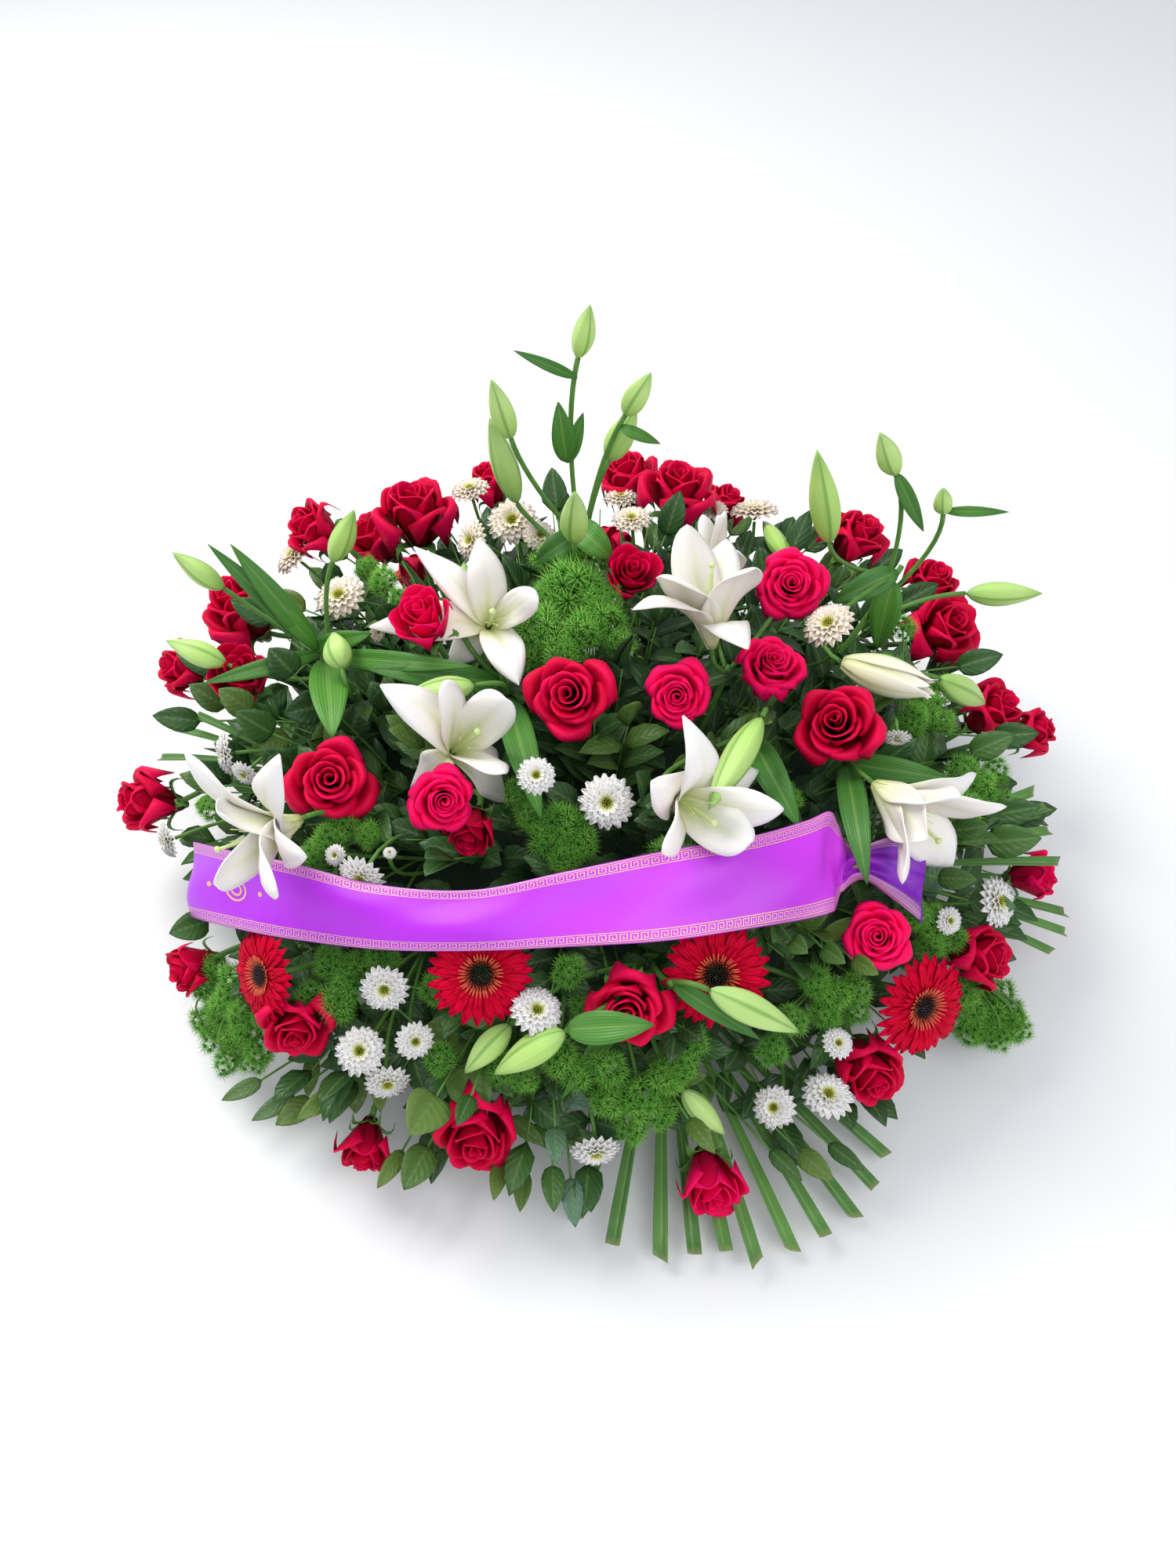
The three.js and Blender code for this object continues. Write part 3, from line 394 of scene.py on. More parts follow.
# Two heads of each form: petals, seed, opened, point and frill
rose_sizes = {
    "open": [(18, 3, 1.0, 0.9, 0.018), (17, 21, 0.9, 0.8, 0.02)],
    "tall": [(17, 30, 0.75, 0.68, 0.02), (16, 31, 0.85, 0.68, 0.02)],
    "full": [(25, 8, 0.9, 0.2, 0.05), (24, 5, 0.95, 0.3, 0.045)],
    "shut": [(15, 12, 0.42, 0.6, 0.02), (14, 14, 0.5, 0.7, 0.02)],
}
rose_forms = {
    form: [rose_form(f"rose_{form}", *size) for size in sizes] for form, sizes in rose_sizes.items()
}
# Heads that show from the side stand taller than they are wide
drawn_up = {"open": 1.0, "tall": 1.24, "full": 1.0, "shut": 1.15}

# The calyx: a green cup with five long pointed sepals that bend down under the head.
calyx_shape = bmesh.new()
for i in range(5):
    turn = i * 2 * math.pi / 5

    def sepal(u, v):
        out = 0.12 + 0.62 * math.sin(v * 1.7)
        width = 0.16 * (1 - v) ** 0.7 * (0.4 + 1.8 * v * (1 - v) + 0.6 * (1 - v))
        height = -0.86 + 0.34 * math.sin(v * 2.3) - 0.3 * v * v
        side = u * width
        return Vector((
            out * math.cos(turn) - side * math.sin(turn),
            out * math.sin(turn) + side * math.cos(turn),
            height + 0.04 * u * u,
        ))

    blank(calyx_shape, 2, 6, sepal)
thicken(calyx_shape, 0.02)
bmesh.ops.create_cone(
    calyx_shape, cap_ends=True, segments=10, radius1=0.08, radius2=0.24, depth=0.26,
    matrix=Matrix.Translation((0, 0, -0.92)),
)
calyx = kept(calyx_shape, "calyx")


# A rod of unit size, to be laid along a stem's line
def rod_form(sides, cuts):
    shape = bmesh.new()
    bmesh.ops.create_cone(
        shape, cap_ends=True, segments=sides, radius1=1, radius2=1, depth=1,
        matrix=Matrix.Translation((0, 0, 0.5)),
    )
    upright_edges = [edge for edge in shape.edges if abs(edge.verts[0].co.z - edge.verts[1].co.z) > 0.5]
    bmesh.ops.subdivide_edges(shape, edges=upright_edges, cuts=cuts)
    return kept(shape, "rod")


rod = rod_form(7, 8)


def bezier(a, b, c, t):
    return a * (1 - t) ** 2 + b * (2 * t * (1 - t)) + c * t**2


def lay_rod(shape, form, line, radius, tip=1.0):
    before = len(shape.verts)
    shape.from_mesh(form)
    shape.verts.ensure_lookup_table()
    start, bend, end = line
    side = (end - start).orthogonal().normalized()
    for vert in shape.verts[before:]:
        x, y, t = vert.co
        along = ((bend - start) * (1 - t) + (end - bend) * t).normalized()
        first = (side - along * side.dot(along)).normalized()
        thick = radius * (1 + (tip - 1) * t)
        vert.co = bezier(start, bend, end, t) + (first * x + along.cross(first) * y) * thick


# Where stems stand: the root of a bunch lies in the foam below the middle of its heads, and the bunch's
# other stems part from the first just above the foam.
foam_top = 0.104
root_height = 0.034


def root_of(points, nudge=(0, 0)):
    middle = sum(points, Vector()) / len(points)
    return Vector((middle.x * 0.46 + nudge[0] / 1000, middle.y * 0.38 + nudge[1] / 1000, root_height))


def stem_line(root, end, axis):
    bend = end - axis * ((end - root).length * 0.4)
    bend.z = max(bend.z, root.z + 0.006)
    return root, bend, end


def bunch_lines(heads, neck, halfway, nudge=(0, 0)):
    root = root_of([at for at, *_ in heads], nudge)
    lines = []
    for i, (at, half, axis, *_) in enumerate(heads):
        start = root
        if lines:
            low, high = root, bezier(*lines[0], halfway)
            share = min(0.97, (foam_top + 0.003 + 0.005 * i - low.z) / (high.z - low.z))
            start = low.lerp(high, share)
        lines.append(stem_line(start, at + axis * (neck * half), axis))
    return lines


# A rose stands at a spot of the view, so wide, leaning so. Its sort is deep or bright, and its form open,
# tall, full or shut.
def rose(across, down, wide, lean, toward, sort="deep open", back=0):
    at = mound(across, down, back)
    return at, wide / 2000, facing(at, lean, toward), sort


def rose_behind(x, y, z, wide, lean, toward):
    at = Vector((x, y, z)) / 1000
    return at, wide / 2000, facing(at, lean, toward), "deep tall"


rose_bunches = {
    "roses_centre": [
        rose(728, 887, 70, 10, 150),
        rose(864, 886, 54, 6, 270, "bright full"),
        rose(806, 730, 56, 25, 80, "bright shut", -4),
    ],
    "roses_centre_right": [
        rose(1008, 746, 65, 12, 45, "bright full"),
        rose(984, 848, 56, 34, 70, "bright full", 6),
        rose(1067, 924, 72, 14, 120),
    ],
    "roses_centre_left": [
        rose(420, 995, 70, 10, 120),
        rose(565, 1020, 52, 8, 300, "bright full", -12),
        rose(600, 1062, 48, 50, 250, "deep shut", 45),
    ],
    "roses_back_left": [
        rose(527, 648, 84, 56, 100, "deep tall"),
        rose(474, 684, 66, 66, 140, "deep tall", 56),
        rose(624, 612, 54, 70, 110, "deep tall", 64),
    ],
    "roses_upper_left": [
        rose(397, 672, 64, 66, 150, "deep tall"),
        rose(304, 772, 80, 56, 130, "deep tall"),
        rose(540, 788, 60, 42, 120, "bright shut", -44),
    ],
    "roses_left": [
        rose(228, 852, 54, 70, 170, "deep tall"),
        rose(306, 862, 64, 32, 110, "deep shut", -22),
        rose(180, 1024, 66, 72, 178, "deep tall"),
    ],
    "roses_back_right": [
        rose(800, 606, 70, 64, 110, "deep tall", 50),
        rose(866, 622, 78, 54, 88, "deep tall"),
        rose(926, 640, 52, 70, 60, "deep tall", 64),
    ],
    "roses_upper_right": [
        rose(1096, 684, 64, 60, 50, "deep tall"),
        rose(1188, 742, 62, 58, 60, "deep tall", 50),
        rose(1204, 798, 80, 44, 35, "deep tall"),
    ],
    "roses_far_right": [
        rose(1270, 904, 64, 62, 35, "deep tall"),
        rose(1322, 930, 52, 74, 15, "deep tall", 30),
    ],
    "roses_right": [
        rose(1322, 1116, 54, 76, 5, "bright shut"),
        rose(1256, 1219, 60, 64, 0, "deep tall"),
        rose(1120, 1196, 54, 8, 90, "bright full", -4),
    ],
    "roses_front_left": [
        rose(608, 1446, 70, 44, 268, "deep tall"),
        rose(466, 1468, 50, 70, 262, "deep shut"),
    ],
    "roses_lower_left": [
        rose(380, 1310, 62, 46, 262),
        rose(240, 1234, 50, 74, 200, "deep shut"),
    ],
    "roses_front": [
        rose(800, 1287, 64, 24, 260),
        rose(909, 1512, 62, 60, 285, "bright shut", -14),
        rose(1110, 1368, 64, 52, 300, "deep tall", 4),
    ],
    "roses_behind": [
        rose_behind(20, 336, 96, 56, 128, 95),
        rose_behind(-180, 296, 92, 54, 132, 110),
        rose_behind(215, 288, 90, 54, 130, 75),
    ],
}


# What a blank keeps on its points: the place across it, the place along it, and the tone
def petal_parts(finish):
    split = finish.make("ShaderNodeSeparateXYZ", {}, finish.stored("petal")).socket.node
    return [Wire(finish.tree, split.outputs[i]) for i in range(3)]


rose_finish = Finish("rose_petal", roughness=0.5, Specular_IOR_Level=0.12)
_, along, tone = petal_parts(rose_finish)
whole = rose_finish.stored("petal")
veins = rose_finish.make("ShaderNodeTexWave", {"bands_direction": "X"}, whole, 9.0, 1.5, 2.0, 1.5)
# Both sorts are painted darker towards the petal bases, as painted shade deep in the head, and lighter at the
# lips: partly a lighter rim of their own and partly painted light where the lips roll out.
deep = rose_finish.ramp(
    along, (0.0, (0.08, 0.0, 0.004)), (0.55, (0.46, 0.0, 0.019)), (1.0, (0.74, 0.0, 0.045)),
)
bright = rose_finish.ramp(
    along, (0.0, (0.30, 0.0, 0.025)), (0.5, (0.92, 0.0, 0.08)), (1.0, (1.0, 0.004, 0.145)),
)
mottle = 0.12 * rose_finish.noise(40, 2)
rose_finish.set("Base Color", rose_finish.blend(tone + mottle, deep, bright))
rose_finish.set("Roughness", 0.42 + 0.2 * veins)
rose_finish.bump(veins * 0.35 + rose_finish.noise(260, 3) * 0.65, 0.0005, 0.4)

stem_finish = Finish("cut_stem", roughness=0.5, Specular_IOR_Level=0.3)
mottle = stem_finish.noise(90, 4)
stem_finish.set("Base Color", stem_finish.blend(mottle, (0.05, 0.15, 0.02), (0.14, 0.32, 0.06)))
stem_finish.bump(mottle, 0.0004)

# What stands in view, as points with a reach round them. Leaves made later keep out of their way.
standing = []
for index, (name, heads) in enumerate(rose_bunches.items()):
    petals, greens = bmesh.new(), bmesh.new()
    standing += [(at, half) for at, half, *_ in heads]
    for i, ((at, half, axis, sort), line) in enumerate(zip(heads, bunch_lines(heads, -0.92, 0.5))):
        colour, form = sort.split()
        tint = 0.0 if colour == "deep" else 0.62
        size = (half, half, half * drawn_up[form])
        plant(petals, rose_forms[form][(index + i) % 2], at, axis, size, index * 1.3 + i * 2.1, tint)
        plant(greens, calyx, at, axis, size, i)
        lay_rod(greens, rod, line, 0.0026)
    new_piece(f"{name}_petals", petals, rose_finish, [name])
    new_piece(f"{name}_stems", greens, stem_finish)


# Gerberas
# Red gerberas, each on one bare stem. Two rings of long strap petals stand round short inner petals, a ring
# of small orange florets and a near-black eye.
def strap(shape, turn, start, end, half, low, high, arch, tone, along=5, cup=0.0):
    def place(u, v):
        reach = start + (end - start) * v
        widened = 0.4 + 0.6 * math.sin(min(1, v * 1.6) * math.pi / 2)
        rounded = 1 - 0.75 * max(0, (v - 0.75) / 0.25) ** 2
        side = u * (half * widened * rounded)
        height = low + (high - low) * v + arch * math.sin(math.pi * v) + cup * u * u
        return Vector((
            reach * math.cos(turn) - side * math.sin(turn),
            reach * math.sin(turn) + side * math.cos(turn),
            height,
        ))

    blank(shape, 2, along, place, tone)


def strap_ring(shape, draw, count, start, end, half, low, high, arch, phase=0.0, **more):
    for i in range(count):
        turn = (i + phase) * 2 * math.pi / count + draw.uniform(-0.05, 0.05)
        drop = draw.uniform(-0.03, 0.03)
        reach = end * draw.uniform(0.93, 1.0)
        strap(shape, turn, start, reach, half, low, high + drop, arch, draw.random(), **more)


# Florets packed in a spiral, as in any daisy's eye. A floret is a cone a few faces round.
floret_shape = bmesh.new()
bmesh.ops.create_cone(
    floret_shape, cap_ends=True, segments=4, radius1=1, radius2=0.35, depth=1,
    matrix=Matrix.Translation((0, 0, 0.5)),
)
floret = kept(floret_shape, "floret")


def eye_of(shape, count, radius, height, dome, size, tall):
    layer = shape.verts.layers.float_vector.get("petal") or shape.verts.layers.float_vector.new("petal")
    for i in range(count):
        share = math.sqrt((i + 0.5) / count)
        turn = i * golden_turn
        domed = height + dome * (1 - share**2)
        at = Vector((share * radius * math.cos(turn), share * radius * math.sin(turn), domed))
        axis = Vector((at.x * 0.8, at.y * 0.8, radius * 1.6)).normalized()
        before = len(shape.verts)
        plant(shape, floret, at, axis, (size, size, tall * (0.7 + 0.5 * share)), turn)
        for vert in shape.verts[before:]:
            vert[layer] = (0, 0, share)


def gerbera_form(seed):
    draw = random.Random(seed)
    rays = bmesh.new()
    strap_ring(rays, draw, 25, 0.2, 1.0, 0.088, -0.02, 0.0, 0.09, cup=0.03)
    strap_ring(rays, draw, 24, 0.2, 0.9, 0.08, 0.02, 0.07, 0.09, 0.5, cup=0.03)
    strap_ring(rays, draw, 30, 0.2, 0.62, 0.04, 0.06, 0.15, 0.04, 0.2, along=3)
    thicken(rays, 0.012)
    florets = bmesh.new()
    strap_ring(florets, draw, 34, 0.2, 0.42, 0.022, 0.07, 0.21, 0.02, along=2)
    thicken(florets, 0.012)
    eye_of(florets, 90, 0.23, 0.06, 0.05, 0.026, 0.09)
    return kept(rays, "gerbera_rays"), kept(florets, "gerbera_florets")


ray_finish = Finish("gerbera_petal", roughness=0.5, Specular_IOR_Level=0.06)
across, along, tone = petal_parts(ray_finish)
red = ray_finish.ramp(
    along, (0.0, (0.18, 0.0, 0.004)), (0.35, (0.56, 0.0, 0.016)), (1.0, (0.80, 0.0, 0.045)),
)
shade = ray_finish.blend(tone, (0.8, 0.7, 0.7), (1, 1, 1))
ray_finish.set("Base Color", ray_finish.blend(1.0, red, shade, "MULTIPLY"))
ray_finish.bump(ray_finish.sine(across * 9.0), 0.0004, 0.5)

floret_finish = Finish("gerbera_floret", roughness=0.6)
_, along, tone = petal_parts(floret_finish)
dark_eye = floret_finish.ramp(
    tone, (0.0, (0.012, 0.004, 0.006)), (0.72, (0.03, 0.006, 0.008)), (0.95, (0.55, 0.09, 0.03)),
)
tips = floret_finish.ramp(along, (0.0, (0.22, 0.004, 0.004)), (1.0, (0.80, 0.13, 0.05)))
floret_finish.set("Base Color", floret_finish.blend(along > 0.01, dark_eye, tips))
floret_finish.bump(floret_finish.noise(400, 2), 0.0004)

gerberas = {
    "gerbera_left": (mound(338, 1243, -8), 76, 58, 190),
    "gerbera_middle": (mound(613, 1242), 80, 12, 270),
    "gerbera_right": (mound(913, 1243, 8), 82, 14, 300),
    "gerbera_far_right": (mound(1174, 1282, -6), 86, 46, 330),
}
for index, (name, (at, wide, lean, toward)) in enumerate(gerberas.items()):
    rays_form, florets_form = gerbera_form(40 + index)
    rays, florets, greens = bmesh.new(), bmesh.new(), bmesh.new()
    axis = facing(at, lean, toward)
    standing.append((at, wide / 2000))
    plant(rays, rays_form, at, axis, wide / 2000)
    plant(florets, florets_form, at, axis, wide / 2000)
    plant(greens, calyx, at + axis * 0.009, axis, (0.010, 0.010, 0.026))
    root = root_of([at])
    lay_rod(greens, rod, stem_line(root, at - axis * (0.26 * wide / 2000), axis), 0.0025)
    new_piece(f"{name}_rays", rays, ray_finish, [name])
    new_piece(f"{name}_florets", florets, floret_finish)
    new_piece(f"{name}_stem", greens, stem_finish)


# Spray chrysanthemums
# Small white flowers, several to a branching stem. Each is four rings of blunt petals that stand up towards
# a yellow-green eye, over a small green cup.
def chrysanthemum_form(seed):
    draw = random.Random(seed)
    rays = bmesh.new()
    strap_ring(rays, draw, 18, 0.12, 1.0, 0.15, -0.06, -0.02, 0.10, cup=0.07, along=4)
    strap_ring(rays, draw, 17, 0.12, 0.9, 0.14, 0.0, 0.12, 0.08, 0.5, cup=0.08, along=4)
    strap_ring(rays, draw, 15, 0.1, 0.70, 0.12, 0.06, 0.26, 0.05, 0.2, cup=0.08, along=3)
    strap_ring(rays, draw, 11, 0.1, 0.46, 0.09, 0.10, 0.34, 0.03, 0.7, cup=0.08, along=3)
    thicken(rays, 0.02)
    florets = bmesh.new()
    eye_of(florets, 44, 0.26, 0.12, 0.10, 0.034, 0.12)
    return kept(rays, "chrysanthemum_rays"), kept(florets, "chrysanthemum_florets")


white_finish = Finish("chrysanthemum_petal", roughness=0.5, Specular_IOR_Level=0.3)
across, along, tone = petal_parts(white_finish)
white = white_finish.ramp(
    along, (0.0, (0.50, 0.60, 0.12)), (0.35, (0.80, 0.82, 0.50)), (0.65, (0.90, 0.88, 0.85)),
)
tinged = white_finish.ramp(
    tone, (0.0, (1, 0.86, 0.72)), (0.30, (1, 0.94, 0.85)), (0.70, (0.90, 0.90, 0.90)), (1.0, (1, 1, 1)),
)
white_finish.set("Base Color", white_finish.blend(1.0, white, tinged, "MULTIPLY"))
white_finish.bump(white_finish.sine(across * 7.0), 0.0003, 0.5)

eye_finish = Finish("chrysanthemum_eye", roughness=0.6)
*_, tone = petal_parts(eye_finish)
yellow = eye_finish.ramp(
    tone, (0.0, (0.32, 0.36, 0.03)), (0.6, (0.62, 0.60, 0.05)), (1.0, (0.80, 0.72, 0.16)),
)
eye_finish.set("Base Color", yellow)
eye_finish.bump(eye_finish.noise(500, 2), 0.0003)


def daisy(across, down, wide, lean, toward, back=0):
    at = mound(across, down, back)
    return at, wide / 2000, facing(at, lean, toward)


sprays = {
    "daisies_back_left": [
        daisy(654, 666, 48, 30, 110, 8),
        daisy(600, 626, 40, 60, 105, 8),
        daisy(688, 684, 32, 30, 60, 2),
        daisy(603, 690, 38, 52, 165, 4),
    ],
    "daisies_back_right": [
        daisy(806, 664, 38, 52, 95, 4),
        daisy(792, 636, 36, 62, 90, 24),
        daisy(910, 652, 30, 50, 90, 18),
        daisy(962, 654, 50, 76, 92, 22),
        daisy(1058, 798, 46, 42, 120, -6),
    ],
    "daisies_upper_left": [
        daisy(434, 762, 46, 40, 120, 6),
        daisy(376, 710, 44, 68, 140, 20),
        daisy(481, 806, 17, 40, 0),
    ],
    "daisies_left": [
        daisy(313, 986, 25, 55, 230, 8),
        daisy(290, 962, 36, 78, 190, 8),
        daisy(215, 1072, 32, 75, 200, 20),
    ],
    "daisies_middle": [daisy(684, 990, 30, 15, 90, -30), daisy(774, 1023, 43, 6, 250, -6)],
    "daisies_by_ribbon": [
        daisy(462, 1116, 38, 52, 240, -12), daisy(428, 1091, 18, 25, 180, -4), daisy(497, 1088, 11, 30, 90),
    ],
    "daisies_front_left": [
        daisy(491, 1260, 38, 25, 250),
        daisy(460, 1341, 40, 14, 160),
        daisy(529, 1327, 31, 22, 300, 6),
        daisy(494, 1379, 36, 48, 275, 8),
    ],
    "daisies_front_middle": [daisy(684, 1290, 40, 25, 60), daisy(760, 1466, 40, 62, 275)],
    "daisies_front_right": [
        daisy(1068, 1331, 26, 25, 30, 4), daisy(988, 1412, 35, 16, 200), daisy(1055, 1398, 42, 35, 60, -16),
    ],
    "daisies_right": [
        daisy(1210, 1174, 24, 36, 350),
        daisy(1270, 1150, 44, 56, 5, -18),
        daisy(1144, 940, 24, 60, 270, 4),
    ],
}
chrysanthemum_forms = [chrysanthemum_form(seed) for seed in (70, 71, 72)]
for index, (name, heads) in enumerate(sprays.items()):
    rays, florets, greens = bmesh.new(), bmesh.new(), bmesh.new()
    standing += [(at, half) for at, half, _ in heads]
    # Those at the back have opened later and are more cream than white
    cream = 0.0 if name in ("daisies_back_left", "daisies_back_right", "daisies_upper_left") else 0.7
    for i, ((at, half, axis), line) in enumerate(zip(heads, bunch_lines(heads, -0.36, 0.55))):
        rays_form, florets_form = chrysanthemum_forms[(index + i) % 3]
        plant(rays, rays_form, at, axis, half, i, cream)
        plant(florets, florets_form, at, axis, half, i)
        plant(greens, calyx, at + axis * (0.36 * half), axis, (half * 0.55, half * 0.55, half * 0.62), i)
        lay_rod(greens, rod, line, 0.0016)
    new_piece(f"{name}_petals", rays, white_finish, [name])
    new_piece(f"{name}_eyes", florets, eye_finish)
    new_piece(f"{name}_stems", greens, stem_finish)


# Lilies
# White trumpet lilies: six thick petals, three broad and three narrow, that curl back from a green throat.
# The pollen has been taken off, so only pale green threads and the pistil stand in the middle.
def lily_petal(shape, base, axis, outward, reach, opened, wide, tone, curl):
    flare = math.radians(opened)
    forward = 0.5 - 0.25 * min(1, max(0, (opened - 65) / 45))
    bend = base + axis * (reach * forward) + outward * (reach * (0.66 - forward))
    tip = base + axis * (reach * math.cos(flare)) + outward * (reach * math.sin(flare))
    draw = random.Random(int(tone * 1e6))
    wave, roll = draw.uniform(0, 6.28), draw.uniform(-0.4, 0.4)
    side = axis.cross(outward).normalized()

    def place(u, v):
        middle = bezier(base, bend, tip, v)
        along = ((bend - base) * (1 - v) + (tip - bend) * v).normalized()
        under = side.cross(along)
        taper = 0.14 * (1 - v) + 0.88 * max(0, math.sin(math.pi * v**1.12)) ** 0.85 + 0.02
        bowl = 0.34 * v - 0.32 * (1 - v)
        ruffle = 0.05 * math.sin(10 * v + wave + 2 * u) * abs(u) ** 3
        groove = 0.05 * math.exp(-((u / 0.12) ** 2)) * (1 - v)
        lift = (bowl * u * u + ruffle + groove + roll * 0.14 * u * v) * wide * taper
        back = max(0, (v - 0.6) / 0.4) ** 2 * curl
        return middle + side * (u * wide / 2 * taper) + under * lift + (outward * 0.2 - axis) * back

    blank(shape, 8, 16, place, tone)


lily_finish = Finish("lily_petal", roughness=0.45, Specular_IOR_Level=0.3)
across, along, tone = petal_parts(lily_finish)
middle_line = lily_finish.ramp(
    across * across,
    (0.0, (1, 1, 1)), (0.015, (0.6, 0.6, 0.6)), (0.08, (0.12, 0.12, 0.12)), (0.3, (0, 0, 0)),
)
white = lily_finish.ramp(
    along,
    (0.0, (0.50, 0.60, 0.16)), (0.16, (0.76, 0.79, 0.46)),
    (0.4, (0.85, 0.83, 0.75)), (1.0, (0.88, 0.86, 0.85)),
)
greened = lily_finish.blend(middle_line * (1.0 - along) ** 1.2 * 0.9, white, (0.55, 0.66, 0.20))
blush = lily_finish.blend(lily_finish.noise(14, 3) * tone * 0.7, greened, (0.93, 0.80, 0.70))
lily_finish.set("Base Color", blush)
creases = lily_finish.sine(across * 17.0 + 2.0 * lily_finish.noise(30, 2))
lily_finish.bump(creases * 0.3 + lily_finish.noise(300, 3) * 0.5, 0.0003, 0.25)


# A point on the line of sight at this spot of the view, as far from the throat as a petal is long. A share
# below nought lays the petal back, away from the eye.
def petal_tip(throat, reach, across, down, share=1.0):
    ray = sight(across, down)
    middle = (throat - eye).dot(ray)
    aside = (throat - eye - ray * middle).length
    nearer = math.copysign(math.sqrt(max(0, (reach * share) ** 2 - aside * aside)), share)
    return eye + ray * (middle - nearer)


# Each bloom: its throat, its lean, the petals' length, and where the tips of its petals show
blooms = {
    "upper_left": (mound(622, 800, 18), 16, 62, 72, [
        (676, 762), (612, 694), (534, 704), (478, 800, -1), (574, 850, -0.7), (660, 868),
    ]),
    "left": (mound(574, 962, 22), 28, 40, 84, [
        (640, 980), (642, 896), (572, 876), (492, 878), (530, 1000, -0.6), (640, 1022, -0.9),
    ]),
    "upper_right": (mound(908, 828, 4), 72, 93, 94, [
        (925, 690, -1), (960, 724), (814, 776), (846, 734), (950, 826, 0.75), (880, 670, -1),
    ]),
    "behind_right": (mound(908, 757, 58), 60, 70, 66, [
        (942, 740), (938, 700), (928, 668), (900, 660), (872, 690), (884, 730),
    ]),
    "over_ribbon": (mound(854, 1012, -2), 40, 330, 84, [
        (992, 1034), (962, 985, -0.9), (874, 928), (836, 1000, 0.6), (852, 1084), (952, 1074),
    ]),
    "far_left": (mound(384, 1044, -26), 62, 203, 96, [
        (386, 1090, 0.8), (350, 1138), (268, 1122), (239, 966), (356, 968, 0.9), (275, 1040, 0.9),
    ]),
    "far_right": (mound(1114, 999, -4), 72, 320, 94, [
        (1156, 1122, 0.97), (1214, 1102, -1), (1277, 1034, -1), (1240, 990, -0.92), (1222, 1020, 0.80),
        (1186, 1070, 0.74),
    ]),
}
# Tips that have rolled back further than the others, and two that have hardly done so
rolled_tips = {
    ("over_ribbon", 2): 0.034,
    ("behind_right", 2): 0.03,
    ("upper_left", 0): 0.02,
    ("far_right", 4): 0.004,
    ("far_right", 5): 0.004,
}
bloom_lines = {}
thread_finish = Finish("lily_thread", roughness=0.4)
pale_green = thread_finish.blend(thread_finish.noise(60, 2), (0.50, 0.66, 0.20), (0.78, 0.84, 0.46))
thread_finish.set("Base Color", pale_green)
for index, (name, (at, lean, toward, reach, tips)) in enumerate(blooms.items()):
    axis = facing(at, lean, toward)
    bloom_lines[name] = at, axis
    first = axis.cross(Vector((0, 0, 1))).normalized()
    petals, threads = bmesh.new(), bmesh.new()
    draw = random.Random(90 + index)
    for i, spot in enumerate(tips):
        curl = rolled_tips.get((name, i), 0.010 + 0.006 * draw.random())
        tip = petal_tip(at, reach / 1000, *spot) + axis * curl
        way = (tip - at).normalized()
        outward = (way - axis * way.dot(axis)).normalized()
        broad = reach / 1000 * (0.46 if i % 2 else 0.38)
        start = at + outward * (0.0015 if i % 2 else 0.0022)
        opened, length = math.degrees(way.angle(axis)), (tip - at).length
        lily_petal(petals, start, axis, outward, length, opened, broad, draw.random(), curl)
        standing += [(at.lerp(tip, share), 0.015) for share in (0.4, 0.7, 1.0)]
        between = Matrix.Rotation((i + 0.5) * math.pi / 3, 3, axis) @ first
        end = at + axis * (reach * 0.00056) + between * (reach * 0.00013)
        lay_rod(threads, rod, (at, at + axis * (reach * 0.0003), end), 0.0007, 0.6)
    thicken(petals, 0.0009)
    tip = at + axis * (reach * 0.00072) + first * 0.003
    lay_rod(threads, rod, (at, at + axis * (reach * 0.0004), tip), 0.0015, 0.9)
    bmesh.ops.create_uvsphere(
        threads, u_segments=9, v_segments=6, radius=0.0028,
        matrix=Matrix.Translation(tip) @ Matrix.Scale(0.8, 4, axis),
    )
    new_piece(f"lily_{name}_petals", petals, lily_finish, [f"lily_{name}"])
    new_piece(f"lily_{name}_threads", threads, thread_finish)

# The half-open bud: its six petals still stand close, with only their tips bent out. They are greener than
# open ones, so the finish sees them as the lower part of a petal. The form is in millimetres.
opening_at = mound(1075, 845, 4)
opening_axis = facing(opening_at, 78, 343)
shape = bmesh.new()
for i in range(6):
    def place(u, v):
        turn = i * math.pi / 3 + u * 0.95 * max(0, math.sin(math.pi * (0.2 + 0.8 * v))) ** 0.6
        radius = 14.5 * math.sin(math.pi * min(1, 0.06 + 0.88 * v) ** 0.9) ** 0.75
        radius += 5 * max(0, (v - 0.86) / 0.14) ** 2
        radius += (1.6 if i % 2 else 0.0) * math.sin(math.pi * v) + 0.5 * u
        radius -= 1.3 * math.exp(-((u / 0.12) ** 2)) * (1 - v)
        return Vector((radius * math.cos(turn), radius * math.sin(turn), (74 + 3 * (i % 2)) * v))

    made = blank(shape, 10, 14, place, 0.6)
    layer = shape.verts.layers.float_vector["petal"]
    for vert in made:
        vert[layer] = (vert[layer].x, 0.08 + 0.34 * vert[layer].y, vert[layer].z)
thicken(shape, 0.7)
opening_form = kept(shape, "lily_opening_form")
shape = bmesh.new()
plant(shape, opening_form, opening_at, opening_axis, 0.001)
new_piece("lily_opening_petals", shape, lily_finish, ["lily_opening"])
bloom_lines["opening"] = opening_at, opening_axis


